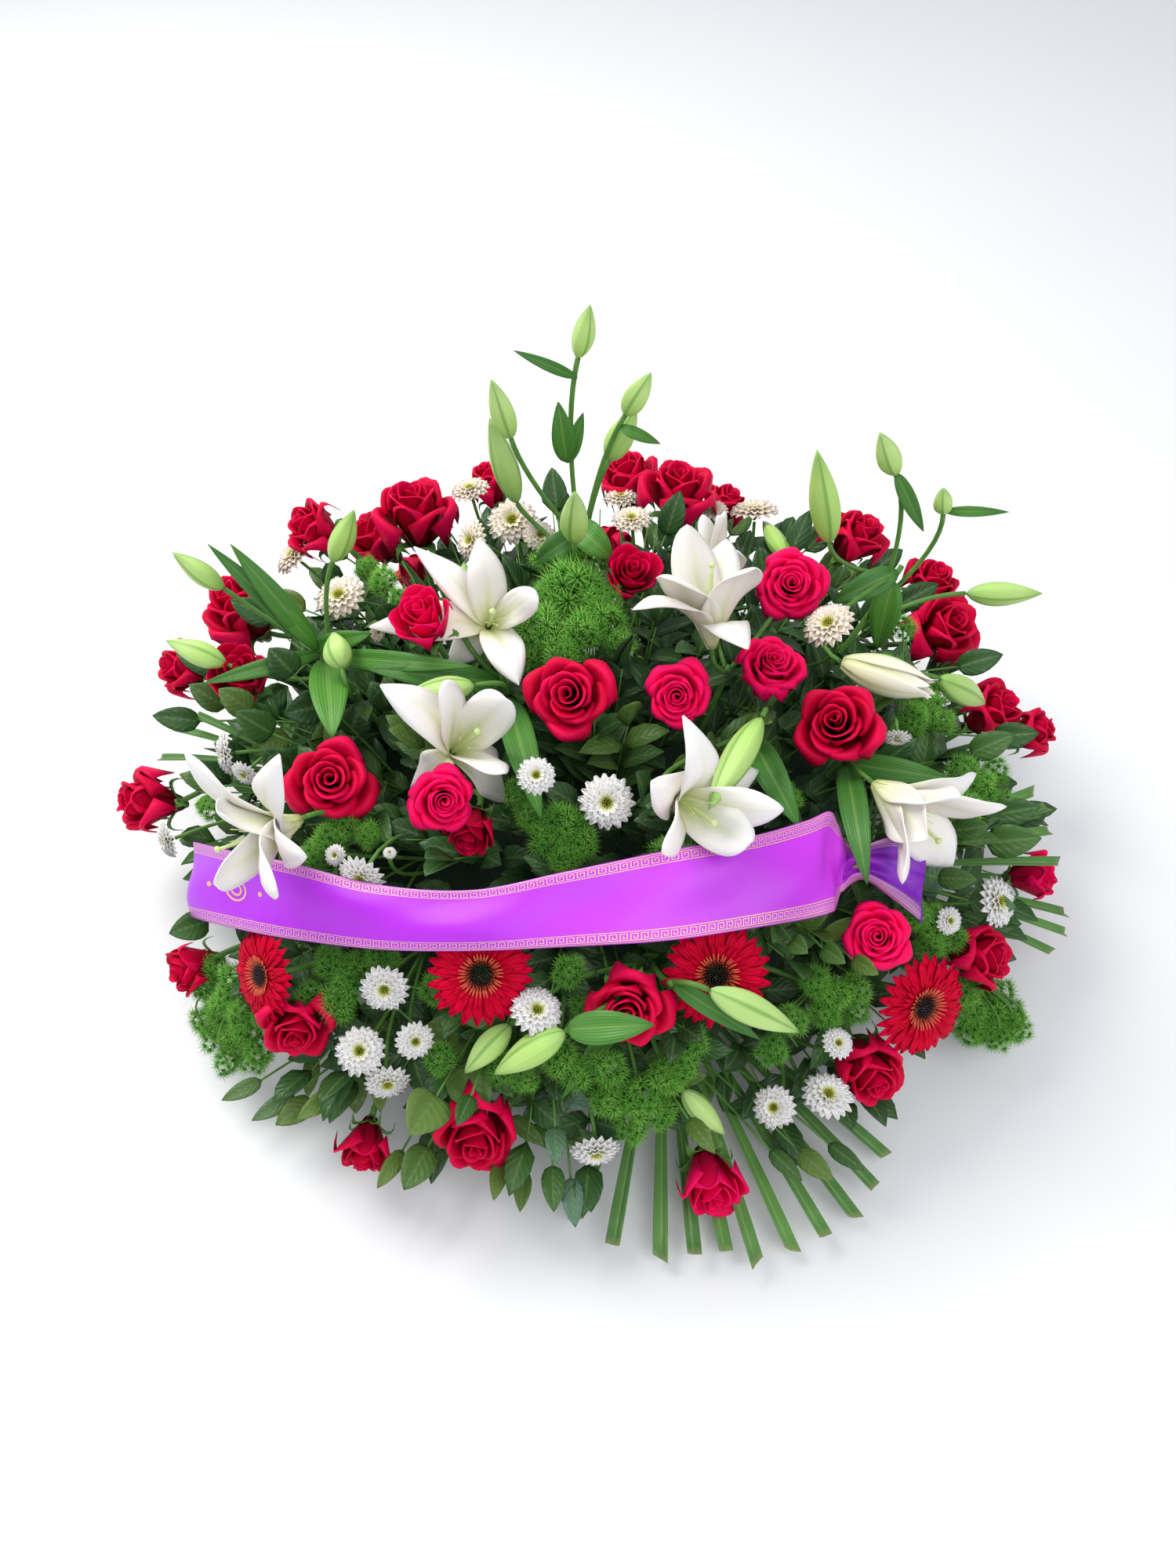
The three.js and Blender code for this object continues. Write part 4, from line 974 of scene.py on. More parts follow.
# Lily stems
# Each green stem carries blooms, ribbed buds on short stalks and long leaves with lines along them. Like the
# others it stands in the foam.
def bud_form():
    shape = bmesh.new()
    bmesh.ops.create_uvsphere(shape, u_segments=24, v_segments=14, radius=1)
    layer = shape.verts.layers.float_vector.new("petal")
    for vert in shape.verts:
        turn = math.atan2(vert.co.y, vert.co.x)
        share = 1 - math.acos(max(-1, min(1, vert.co.z))) / math.pi
        radius = math.sin(math.pi * share**0.82) ** 0.85 * (1 - 0.12 * share) if 0 < share < 1 else 0
        radius *= 1 - 0.10 * abs(math.cos(1.5 * turn)) ** 8 + 0.05 * math.cos(6 * turn)
        vert[layer] = (math.cos(1.5 * turn) ** 2, share, 0.5)
        vert.co = Vector((radius * math.cos(turn), radius * math.sin(turn), share))
    return kept(shape, "lily_bud")


lily_bud = bud_form()
bud_finish = Finish("lily_bud", roughness=0.42, Specular_IOR_Level=0.3)
across, along, _ = petal_parts(bud_finish)
bud_body = bud_finish.ramp(
    along,
    (0.0, (0.16, 0.42, 0.03)), (0.25, (0.34, 0.64, 0.06)),
    (0.7, (0.44, 0.70, 0.14)), (1.0, (0.18, 0.46, 0.04)),
)
seam = bud_finish.ramp(across, (0.0, (0, 0, 0)), (0.86, (0, 0, 0)), (0.97, (1, 1, 1)))
pale = bud_finish.blend(bud_finish.noise(9, 1) * 0.8, bud_body, (0.61, 0.77, 0.35))
bud_finish.set("Base Color", bud_finish.blend(seam * 0.7, pale, (0.14, 0.33, 0.05)))
bud_finish.bump(bud_finish.sine(across * 30.0) * 0.4 + bud_finish.noise(240, 2) * 0.6, 0.0004, 0.5)


# A leaf lies along its line with its broad face to `face`. Its sides rise a little from the middle rib.
def leaf(shape, line, face, wide, fold, tone, across=4, along=10, blunt=0.8):
    start, bend, end = line

    def place(u, v):
        middle = bezier(start, bend, end, v)
        way = ((bend - start) * (1 - v) + (end - bend) * v).normalized()
        side = way.cross(face).normalized()
        out = side.cross(way)
        half = wide / 2 * max(0.04, math.sin(math.pi * min(1, v**0.75)) ** blunt)
        return middle + side * (u * half) + out * (fold * half * abs(u))

    blank(shape, across, along, place, tone)


def bowed(start, end, bow, direction):
    return start, start.lerp(end, 0.5) + direction * (2 * bow / 1000), end


# A spot at a share of the stem's height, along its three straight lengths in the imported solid
def on_stem(line, share, lengths=3):
    steps = 60
    points = [bezier(*line, i / steps) for i in range(steps + 1)]
    reaches = [0.0]
    for a, b in zip(points, points[1:]):
        reaches.append(reaches[-1] + (b - a).length)
    joints = []
    for k in range(lengths + 1):
        wanted = reaches[-1] * k / lengths
        i = min(steps - 1, sum(1 for reach in reaches[1:] if reach < wanted))
        part = (wanted - reaches[i]) / (reaches[i + 1] - reaches[i])
        joints.append(points[i].lerp(points[i + 1], part))
    k = min(int(share * lengths), lengths - 1)
    return joints[k].lerp(joints[k + 1], share * lengths - k)


leaf_finish = Finish("lily_leaf", roughness=0.36, Specular_IOR_Level=0.35)
across, _, tone = petal_parts(leaf_finish)
lines = leaf_finish.sine(across * 34.0)
# The midrib is painted lighter: partly its own paler green and partly a painted highlight along it.
rib = leaf_finish.ramp(across * across, (0.0, (1, 1, 1)), (0.012, (0.3, 0.3, 0.3)), (0.04, (0, 0, 0)))
green = leaf_finish.blend(tone, (0.02, 0.12, 0.02), (0.10, 0.30, 0.03))
fresher = leaf_finish.blend(0.5, green, (0.10, 0.28, 0.06))
patchy = leaf_finish.blend(leaf_finish.noise(22, 3), green, fresher)
leaf_finish.set("Base Color", leaf_finish.blend(rib * 0.5, patchy, (0.22, 0.38, 0.09)))
leaf_finish.set("Roughness", 0.30 + 0.14 * leaf_finish.noise(40, 3))
leaf_finish.bump(lines * 0.5 + leaf_finish.noise(200, 2) * 0.5, 0.0004, 0.6)


def lily_stem(name, crown, flowers=(), buds=(), leaves=(), nudge=(0, 0)):
    root = root_of([crown], nudge)
    up = Vector((0, 0, 1)).lerp((crown - root).normalized(), 0.7).normalized()
    line = stem_line(root, crown, up)
    greens, spindles, blades = bmesh.new(), bmesh.new(), bmesh.new()
    lay_rod(greens, rod, line, 0.0032, 0.8)
    for spot in flowers:
        at, axis = bloom_lines[spot]
        lay_rod(greens, rod, stem_line(on_stem(line, 0.97), at - axis * 0.0008, axis), 0.002)
        plant(greens, floret, at - axis * 0.004, axis, (0.0026, 0.0026, 0.006))
    for i, (base, tip, wide, *share) in enumerate(buds):
        axis = (tip - base).normalized()
        start = on_stem(line, (share[0] if share else 0.96) - 0.07 * i)
        lay_rod(greens, rod, stem_line(start, base, axis), 0.002, 1.1)
        half = wide / 2000
        plant(spindles, lily_bud, base, axis, (half, half, (tip - base).length), i * 1.7)
        standing.extend((base.lerp(tip, share), half + 0.003) for share in (0.25, 0.7))
    for i, (start, tip, wide, *bow) in enumerate(leaves):
        start = on_stem(line, start) if isinstance(start, float) else start
        to_eye = (eye - tip).normalized()
        across = wide / 1000
        line_of_leaf = bowed(start, tip, bow[0] if bow else 12, to_eye)
        leaf(blades, line_of_leaf, to_eye, across, 0.3, 0.3 + 0.17 * (i % 4), along=14)
        standing.extend((bezier(*line_of_leaf, share), across / 2) for share in (0.5, 0.8))
    new_piece(f"{name}_stalks", greens, stem_finish, [name])
    if buds:
        new_piece(f"{name}_buds", spindles, bud_finish)
    if leaves:
        thicken(blades, 0.0008)
        new_piece(f"{name}_leaves", blades, leaf_finish)


# The spot on the line of sight that is so far behind the arrangement's middle
def upright(across, down, y):
    ray = sight(across, down)
    return eye + ray * ((y / 1000 - eye.y) / ray.y)


def top(across, down, behind=0):
    return upright(across, down, 112 + behind)


lily_stem(
    "lily_stem_top",
    top(735, 640),
    buds=[
        (top(737, 457), top(753, 388, -6), 18),
        (top(652, 560), top(626, 483, -8), 21),
        (top(660, 643, 38), top(624, 532, 38), 25),
        (top(797, 530), top(831, 475, -6), 20),
        (top(776, 588, 24), top(812, 520, 24), 24),
        (top(733, 692, -40), top(733, 626, -62), 24, 0.9),
    ],
    leaves=[
        (top(736.6, 482), top(655, 447), 9, 8),
        (top(723, 590), top(712, 513, -8), 18, 6),
        (top(790, 544, 2), top(842, 566, 4), 10, 14),
        (0.93, top(780, 712, -30), 25, 22),
        (0.9, top(684, 716, -20), 22, 14),
        (top(724, 590), top(744, 526, 4), 13, 5),
    ],
)


def high_right(across, down, behind=0):
    return upright(across, down, 108 + behind)


lily_stem(
    "lily_stem_right",
    high_right(1150, 722),
    ["opening"],
    buds=[
        (high_right(1058, 694, -6), high_right(1042, 573, -10), 27),
        (high_right(1143, 606), high_right(1122, 551, -4), 21),
        (high_right(1203, 655), high_right(1203, 622, -4), 17),
        (high_right(1231, 757, 8), high_right(1330, 757, 10), 23),
        (mound(1198, 866, -16), mound(1257, 898, 10), 26, 0.8),
    ],
    leaves=[
        (0.98, high_right(1062, 768, -12), 24, 10),
        (high_right(1143, 603), high_right(1178, 678, 2), 13, 12),
        (high_right(1203, 652), high_right(1287, 653, 4), 9, 8),
        (0.95, high_right(1118, 828, -16), 26, 10),
    ],
)
lily_stem(
    "lily_stem_left",
    mound(402, 822, 6),
    buds=[
        (upright(287, 752, 60), upright(219, 704, 66), 20),
        (upright(424, 717, 56), upright(452, 650, 52), 21),
        (upright(290, 848, 10), upright(211, 817, 22), 22),
        (mound(436, 853, -8), mound(425, 806, -26), 25),
    ],
    leaves=[
        (0.98, upright(265, 694, 54), 17, 10),
        (0.96, upright(258, 872, -6), 15, 22),
        (0.99, mound(474, 808, -14), 17, 10),
        (0.93, mound(424, 942, -4), 31, 16),
        (0.9, mound(560, 838, -6), 15, 14),
        (0.99, upright(294, 694, 50), 19, 12),
        (0.94, mound(604, 850, -10), 17, 18),
        (0.97, upright(322, 740, 40), 15, 10),
    ],
)
lily_stem(
    "lily_stem_middle",
    mound(640, 862, 44),
    ["upper_left", "left"],
    buds=[(mound(590, 800, 4), mound(592, 716, -18), 20), (mound(607, 874, -8), mound(509, 892, -14), 24)],
    leaves=[(0.96, mound(468, 853, -4), 22, 18), (0.9, mound(690, 1044, -6), 25, 26)],
)
lily_stem(
    "lily_stem_upper_right",
    mound(930, 850, 46),
    ["upper_right", "behind_right"],
    buds=[(mound(1004, 712, 40), mound(973, 664, 40), 20)],
)
lily_stem(
    "lily_stem_front",
    mound(960, 930, 40),
    ["over_ribbon"],
    buds=[(mound(972, 914, -20), mound(903, 1034, -34), 25)],
    leaves=[(0.97, mound(1020, 1056, -10), 24, 14)],
)
lily_stem("lily_stem_far_left", mound(440, 1046, 60), ["far_left"])
lily_stem(
    "lily_stem_far_right",
    mound(1085, 965, 44),
    ["far_right"],
    leaves=[(0.97, mound(1106, 1128, -14), 22, 26), (0.95, mound(1214, 994, -8), 22, 14)],
)
lily_stem(
    "lily_stem_low",
    mound(856, 1254, 0),
    buds=[
        (mound(903, 1262, -24), mound(1020, 1317, -20), 25),
        (mound(722, 1315, -12), mound(629, 1371, -8), 25, 0.74),
        (mound(652, 1306, 18), mound(592, 1370, 4), 22, 0.7),
        (mound(870, 1390, 20), mound(925, 1448, 4), 20, 0.6),
    ],
    leaves=[
        (0.98, mound(970, 1326, 0), 14, 14),
        (0.62, mound(716, 1402, 4), 18, 10),
        (mound(724, 1313, -13), mound(834, 1307, -40), 24, 12),
    ],
    nudge=(10, 0),
)


# Ribbon
# One band of purple satin with a gold key border printed along both edges. It lies over the front of the
# flowers, turns under at its left end, and is gathered on a wooden pick at its right end, where a short tail
# hangs. Each row: across the view, top edge, bottom edge, how far off the mound it is, how deep it folds.
ribbon_rows = [
    (300, 1094, 1150, -42, 0.8),
    (262, 1080, 1166, -26, 0.6),
    (246, 1074, 1170, -2, 0.3),
    (300, 1086, 1184, 12, 0.6),
    (370, 1100, 1198, 18, 1.2),
    (480, 1128, 1211, 20, 1.6),
    (600, 1135, 1213, 20, 1.8),
    (720, 1112, 1208, 18, 1.6),
    (850, 1085, 1200, 18, 1.2),
    (960, 1066, 1184, 16, 1.0),
    (1030, 1046, 1172, 14, 0.8),
    (1058, 1035, 1164, 10, 0.5),
    (1068, 1052, 1156, 0, 0.6),
    (1078, 1076, 1134, -8, 2.5),
    (1102, 1078, 1122, 2, 5.0),
    (1140, 1066, 1150, 8, 4.0),
    (1178, 1066, 1178, -4, 2.0),
]


def through(points, share):
    place = share * (len(points) - 1)
    k = min(int(place), len(points) - 2)
    t = place - k
    a, b, c, d = (points[min(len(points) - 1, max(0, k + step))] for step in (-1, 0, 1, 2))
    return (b * 2 + (c - a) * t + (a * 2 - b * 5 + c * 4 - d) * t**2 + (b * 3 - a - c * 3 + d) * t**3) / 2


top_edge = [mound(across, high, -off) for across, high, low, off, fold in ribbon_rows]
bottom_edge = [mound(across, low, -off) for across, high, low, off, fold in ribbon_rows]
folds = [fold / 1000 for *_, fold in ribbon_rows]
# Folds deeper than this are gathers, which show as several pleats side by side
gathered = 0.0021


def ribbon_spot(u, v):
    high, low = through(top_edge, v), through(bottom_edge, v)
    before, after = max(0, v - 0.004), min(1, v + 0.004)
    along = through(top_edge, after) - through(top_edge, before)
    along = along + through(bottom_edge, after) - through(bottom_edge, before)
    across = (high - low).normalized()
    out = along.cross(across).normalized()
    fold = through(folds, v)
    if fold > gathered:
        deep = fold * math.sin(4.5 * math.pi * (u + 1) / 2)
    else:
        deep = fold * math.cos(1.4 * math.pi * u / 2)
    ripple = 0.0026 * math.sin(24 * v + 2.2 * u) + 0.0012 * math.sin(53 * v - 3 * u)
    return low.lerp(high, (u + 1) / 2) + out * (deep + ripple * (1 - u * u * 0.5))


ribbon_steps = 220
shape = bmesh.new()
blank(shape, 26, ribbon_steps, ribbon_spot)
uv = shape.loops.layers.uv.new("UVMap")
petal_layer = shape.verts.layers.float_vector["petal"]
for face in shape.faces:
    for loop in face.loops:
        u, v, _ = loop.vert[petal_layer]
        loop[uv].uv = (v, (u + 1) / 2)
flat_area = sum(face.calc_area() for face in shape.faces)
middle_line = [ribbon_spot(0, i / ribbon_steps) for i in range(ribbon_steps + 1)]
flat_length = sum((b - a).length for a, b in zip(middle_line, middle_line[1:]))
bmesh.ops.recalc_face_normals(shape, faces=shape.faces)
bmesh.ops.solidify(shape, geom=shape.faces[:], thickness=0.0004)

# The border is a running key: a line that goes up, along, down and back in on itself, then on to the next
# turn, between two plain lines. Its sizes are shares of one turn.
ribbon_finish = Finish("purple_satin", roughness=0.3, Specular_IOR_Level=0.5)
where = ribbon_finish.make("ShaderNodeUVMap", {"uv_map": "UVMap"})
split = ribbon_finish.make("ShaderNodeSeparateXYZ", {}, where).socket.node
u = Wire(ribbon_finish.tree, split.outputs[0])
v = Wire(ribbon_finish.tree, split.outputs[1])


def within(value, low, high):
    return (value > low) * (value < high)


def least(a, b):
    return a.sum("MINIMUM", a, b)


def most(a, b):
    return a.sum("MAXIMUM", a, b)


flat_width = flat_area / flat_length
border_high = 0.085
turn_long = flat_width * border_high * 0.95
edge_v = least(v, 1.0 - v)
turns = u * (flat_length / turn_long)
turn_u = turns.sum("FRACT", turns)
turn_v = (edge_v - 0.035) * (1 / border_high)
# Left, right, low and high of each stroke
strokes = [
    (0.0, 0.11, 0.0, 1.0), (0.0, 0.78, 0.89, 1.0), (0.67, 0.78, 0.26, 1.0), (0.30, 0.78, 0.26, 0.37),
    (0.30, 0.41, 0.26, 0.66), (0.0, 1.0, 0.0, 0.11),
]
key = None
for left, right, low, high in strokes:
    stroke = within(turn_u, left, right) * within(turn_v, low, high)
    key = stroke if key is None else most(key, stroke)
key = most(key, most(within(turn_v, -0.28, -0.16), within(turn_v, 1.16, 1.28)))
on_band = within(u, 0.03, 0.985)


# A bare gold rosette, of no meaning, near the left end: two rings, and a dot on either side
def ring_mask(middle_u, radius, thick):
    du = (u - middle_u) * (flat_length / flat_width)
    dv = v - 0.5
    far = (du * du + dv * dv) ** 0.5
    return within(far, radius - thick, radius + thick)


rosette = most(
    most(ring_mask(0.186, 0.14, 0.013), ring_mask(0.186, 0.07, 0.013)),
    most(ring_mask(0.156, 0.0, 0.033), ring_mask(0.216, 0.0, 0.033)),
)
gold = most(key * on_band, rosette)
weave = ribbon_finish.sine(u * 9000.0) * 0.5 + ribbon_finish.sine(v * 1400.0) * 0.5
shade = ribbon_finish.noise(7, 3)
# The noise mixes a shaded purple with a lit purple, in soft patches of painted shade and painted highlight.
# Along the band both turn from violet at the left to magenta on the right, and are darker at the left as
# painted shade. From the gathers to the right end they are painted much darker, as painted shade on the
# folded end.
shaded_purple = ribbon_finish.ramp(
    u,
    (0.0, (0.16, 0.008, 0.42)), (0.35, (0.30, 0.010, 0.62)),
    (0.75, (0.50, 0.014, 0.66)), (0.92, (0.12, 0.004, 0.30)),
)
lit_purple = ribbon_finish.ramp(
    u,
    (0.0, (0.52, 0.030, 0.92)), (0.35, (0.64, 0.034, 0.90)),
    (0.75, (0.86, 0.070, 0.92)), (0.92, (0.30, 0.02, 0.62)),
)
satin = ribbon_finish.blend(shade, shaded_purple, lit_purple)
ribbon_finish.set("Base Color", ribbon_finish.blend(gold, satin, (0.80, 0.50, 0.24)))
ribbon_finish.set("Metallic", gold * 0.35)
ribbon_finish.set("Roughness", 0.26 + 0.10 * shade + gold * 0.1)
ribbon_finish.bump(weave * 0.25 + gold + shade * 0.3, 0.00015, 0.5)

ribbon = new_piece("ribbon_band", shape, ribbon_finish, ["ribbon"])
flat_area / flat_length
standing += [(ribbon_spot(side, i / 60), 0.009) for side in (-0.8, -0.3, 0.3, 0.8) for i in range(61)]


# Feathery fern
# Stems of feathery fern whose side twigs end in round tufts. A tuft is a handful of fine twiglets, and each
# ends in a burst of soft bright green needles.
needle_shape = bmesh.new()
bmesh.ops.create_cone(
    needle_shape, cap_ends=True, segments=3, radius1=1, radius2=0, depth=1,
    matrix=Matrix.Translation((0, 0, 0.5)),
)
bmesh.ops.remove_doubles(needle_shape, verts=needle_shape.verts, dist=0.0001)
needle_parts = needle_shape.verts.layers.float_vector.new("petal")
for vert in needle_shape.verts:
    vert[needle_parts] = (0, vert.co.z, 0.5)
needle = kept(needle_shape, "fern_needle")


def tuft_form(seed, bursts=19, needles=30):
    draw = random.Random(seed)
    shape = bmesh.new()
    layer = shape.verts.layers.float_vector.new("petal")
    middle = Vector((0, 0, -0.15))
    for i in range(bursts):
        height = 1 - 1.35 * (i + 0.5) / bursts
        turn = i * golden_turn + draw.uniform(-0.25, 0.25)
        flat = math.sqrt(max(0, 1 - height * height))
        way = Vector((flat * math.cos(turn), flat * math.sin(turn), height * 0.85 + 0.12)).normalized()
        far = draw.uniform(0.44, 0.64)
        plant(shape, needle, middle, way, (0.03, 0.03, far), turn)
        tone = draw.random()
        around = way.orthogonal().normalized()
        for j in range(needles):
            lifted = math.acos(1 - 1.25 * (j + 0.5) / needles)
            spun = Matrix.Rotation(j * golden_turn, 3, way) @ around
            out = (way * math.cos(lifted) + spun * math.sin(lifted)).normalized()
            before = len(shape.verts)
            plant(shape, needle, middle + way * far, out, (0.020, 0.020, draw.uniform(0.38, 0.54)), j)
            for vert in shape.verts[before:]:
                vert[layer] = (height, vert[layer].y, tone)
    return kept(shape, "fern_tuft")


tuft_forms = [tuft_form(11), tuft_form(12), tuft_form(13)]
fern_finish = Finish("feathery_fern", roughness=0.55, Specular_IOR_Level=0.25)
_, along, tone = petal_parts(fern_finish)
patch = fern_finish.noise(11, 2)
# Painted light: each needle is painted from a shaded green at its foot, in the dark middle of its burst, to a
# lit green at its tip, with soft patches of either.
shaded_needle = fern_finish.blend(tone, (0.03, 0.18, 0.02), (0.09, 0.34, 0.04))
lit_needle = fern_finish.blend(tone, (0.19, 0.56, 0.06), (0.40, 0.82, 0.13))
painted_light_and_patches = 0.75 * along + 0.5 * patch - 0.05
fern_finish.set("Base Color", fern_finish.blend(painted_light_and_patches, shaded_needle, lit_needle))
fern_finish.bump(patch, 0.0002)


def tuft(across, down, wide, back, lean=20, toward=90):
    at = mound(across, down, back)
    return at, wide / 2000, facing(at, lean, toward)


ferns = {
    "fern_top": [
        tuft(690, 805, 52, 12), tuft(732, 752, 64, 4), tuft(770, 796, 46, 14),
        tuft(490, 742, 34, 12, 50, 140),
    ],
    "fern_left": [
        tuft(420, 1075, 34, 20, 40, 200), tuft(452, 1245, 40, 22), tuft(300, 1320, 34, 10, 60, 220),
    ],
    "fern_middle": [
        tuft(718, 1050, 40, 22), tuft(866, 1098, 36, 26), tuft(712, 1345, 38, 22), tuft(815, 1400, 40, 18),
    ],
    "fern_right": [
        tuft(1190, 1180, 36, 22, 30, 340),
        tuft(1180, 900, 38, 22, 40, 30),
        tuft(1250, 1008, 44, 20, 50, 10),
        tuft(1060, 1268, 36, 24, 20, 300),
        tuft(1262, 1298, 42, 10, 50, 320),
    ],
}
# Smaller tufts on the same sprays fill out round the ones above, a little lower in the mound. Each row: where
# a tuft shows, its width, and how far back it is.
small_tufts = {
    "fern_top": [
        (704, 714, 42, 8), (758, 714, 40, 10), (740, 808, 48, 8), (714, 834, 42, 14), (672, 842, 36, 30),
        (776, 768, 36, 16), (790, 822, 36, 22), (735, 690, 34, 10), (700, 762, 40, 6), (760, 770, 38, 4),
        (468, 726, 30, 20), (512, 766, 30, 20), (450, 760, 28, 24),
    ],
    "fern_left": [
        (440, 1052, 34, 26), (402, 1092, 34, 24), (470, 1064, 30, 30), (420, 1228, 36, 24),
        (486, 1222, 36, 26), (430, 1282, 40, 20), (398, 1270, 34, 24), (556, 1262, 34, 28),
        (280, 1290, 36, 12), (330, 1340, 36, 12), (290, 1355, 32, 12), (258, 1302, 30, 14),
        (560, 1350, 34, 20), (340, 1295, 34, 20), (268, 1030, 30, 26), (300, 1250, 38, 26),
        (275, 1235, 34, 34), (310, 1275, 40, 30), (270, 1262, 36, 30), (295, 1318, 42, 26),
        (318, 1312, 38, 20), (275, 1325, 36, 22), (264, 1258, 34, 18), (288, 1276, 38, 14),
        (310, 1296, 36, 12), (274, 1306, 38, 12), (302, 1332, 38, 12), (322, 1352, 34, 14),
    ],
    "fern_middle": [
        (700, 1072, 38, 26), (742, 1076, 38, 26), (722, 1094, 34, 24), (676, 1040, 34, 28),
        (660, 1010, 32, 28), (848, 1092, 34, 24), (886, 1120, 30, 18), (735, 1370, 38, 22),
        (690, 1318, 34, 26), (775, 1362, 40, 20), (848, 1372, 40, 20), (806, 1436, 38, 16),
        (842, 1418, 36, 18), (775, 1405, 38, 18), (726, 1240, 34, 26), (745, 1282, 30, 28),
        (640, 1362, 34, 26), (878, 1328, 38, 24), (868, 1360, 36, 22), (668, 1378, 30, 26),
    ],
    "fern_right": [
        (1168, 1168, 34, 24), (1215, 1196, 34, 24), (1186, 1204, 34, 26), (1160, 880, 36, 24),
        (1198, 880, 36, 24), (1166, 918, 36, 24), (1202, 922, 32, 26), (1228, 985, 40, 22),
        (1268, 985, 36, 22), (1232, 1030, 40, 22), (1276, 1025, 34, 22), (1040, 1252, 34, 26),
        (1088, 1262, 36, 24), (1052, 1292, 36, 24), (1092, 1290, 32, 26), (1236, 1286, 38, 12),
        (1288, 1290, 34, 12), (1270, 1322, 36, 12), (1300, 1312, 30, 12), (1238, 1318, 34, 14),
        (985, 1340, 34, 24), (1010, 1300, 34, 26), (1150, 800, 34, 24), (1130, 850, 30, 28),
        (1004, 1020, 30, 40), (1222, 1298, 40, 24), (1250, 1272, 42, 26), (1275, 1268, 38, 20),
        (1285, 1308, 42, 20), (1255, 1308, 42, 18), (1225, 1268, 38, 26), (1240, 1250, 36, 30),
        (1262, 1284, 38, 14), (1284, 1300, 34, 12), (1246, 1304, 36, 14),
    ],
}
for index, (name, heads) in enumerate(ferns.items()):
    needles, greens = bmesh.new(), bmesh.new()
    lines = bunch_lines(heads, -0.5, 0.55, (0, -10) if name == "fern_right" else (0, 0))
    standing += [(at, half * 0.8) for at, half, _ in heads]
    for i, ((at, half, axis), line) in enumerate(zip(heads, lines)):
        plant(needles, tuft_forms[(index + i) % 3], at, axis, half * 1.12, i)
        lay_rod(greens, rod, line, 0.0016)
    for i, (across_view, down, wide, back) in enumerate(small_tufts[name]):
        at = mound(across_view, down, back)
        axis = facing(at, 22, 70 * i)
        plant(needles, tuft_forms[(index + i) % 3], at, axis, wide / 2000, i)
        nearest = min(lines, key=lambda line: (line[2] - at).length)
        lay_rod(greens, rod, stem_line(bezier(*nearest, 0.75), at, axis), 0.0009)
    new_piece(f"{name}_needles", needles, fern_finish, [name])
    new_piece(f"{name}_twigs", greens, stem_finish)


# Palm
# Trimmed fans of stiff palm leaf, cut off slantwise. The pleats part towards their ends, so a fan shows as a
# row of narrow folded strips.
palm_finish = Finish("palm_leaf", roughness=0.4)
across, along, tone = petal_parts(palm_finish)
# A painted highlight runs along the middle fold of each strip.
fold_highlight = palm_finish.ramp(across * across, (0.0, (1, 1, 1)), (0.03, (0.2, 0.2, 0.2)), (0.2, (0, 0, 0)))
green = palm_finish.blend(tone, (0.05, 0.17, 0.03), (0.13, 0.33, 0.06))
paler = palm_finish.blend(0.5, green, (0.16, 0.36, 0.08))
shaded = palm_finish.blend(palm_finish.noise(28, 3), green, paler)
cut_end = palm_finish.ramp(along, (0.0, (0, 0, 0)), (0.975, (0, 0, 0)), (1.0, (1, 1, 1)))
with_fold_highlight = palm_finish.blend(fold_highlight * 0.6, shaded, (0.30, 0.50, 0.16))
palm_finish.set("Base Color", palm_finish.blend(cut_end * 0.5, with_fold_highlight, (0.45, 0.42, 0.20)))
palm_finish.bump(palm_finish.sine(across * 42.0), 0.0003, 0.6)


def palm(name, hub, tips, wide, seed):
    draw = random.Random(seed)
    root = root_of([hub])
    away = sum((tip - hub for tip in tips), Vector()) / len(tips)
    ahead_of_hub = away.normalized() * 0.006
    greens, strips = bmesh.new(), bmesh.new()
    lay_rod(greens, rod, stem_line(root, hub + ahead_of_hub, away.normalized()), 0.003)
    plant(greens, floret, hub - ahead_of_hub, away, (0.005, 0.005, 0.016))
    for i, tip in enumerate(tips):
        face = (Vector((0, 0, 1)) + Vector((math.copysign(0.3, tip.x - hub.x), 0, 0))).normalized()
        tone, _, slant = draw.random(), draw.random(), draw.uniform(-0.004, 0.004)
        start, bend, end = bowed(hub, tip, 4, Vector((0, 0, 1)))

        def place(u, v):
            middle = bezier(start, bend, end, v)
            way = ((bend - start) * (1 - v) + (end - bend) * v).normalized()
            side = way.cross(face).normalized()
            out = side.cross(way)
            half = wide / 2000 * (0.12 + 0.88 * min(1, v / 0.9) ** 0.8)
            pleat = 0.55 * half * abs(u) - 0.2 * half
            return middle + side * (u * half) + out * pleat + way * (slant * u * v**6)

        blank(strips, 4, 10, place, tone)
    thicken(strips, 0.0006)
    new_piece(f"{name}_strips", strips, palm_finish, [name])
    new_piece(f"{name}_stalk", greens, stem_finish)


front_tips = [
    (735, 1555), (782, 1588), (843, 1606), (885, 1600), (925, 1596), (965, 1612), (1010, 1595), (1052, 1577),
    (1090, 1553), (1115, 1515), (1129, 1475),
]
right_tips = [
    (1318, 1010), (1335, 1030), (1338, 1060), (1350, 1100), (1358, 1165), (1358, 1190), (1340, 1215),
]
left_tips = [(205, 967), (228, 930), (250, 912)]
front_tips = [level(x, y, 14 + 7 * (i % 2)) for i, (x, y) in enumerate(front_tips)]
right_tips = [upright(x, y, -40 - 18 * i) for i, (x, y) in enumerate(right_tips)]
left_tips = [mound(x, y, 20) for x, y in left_tips]
palm("palm_front", level(845, 1240, 60), front_tips, 12, 1)
palm("palm_right", mound(1090, 1110, 120), right_tips, 10, 2)
palm("palm_left", mound(380, 980, 90), left_tips, 8, 3)


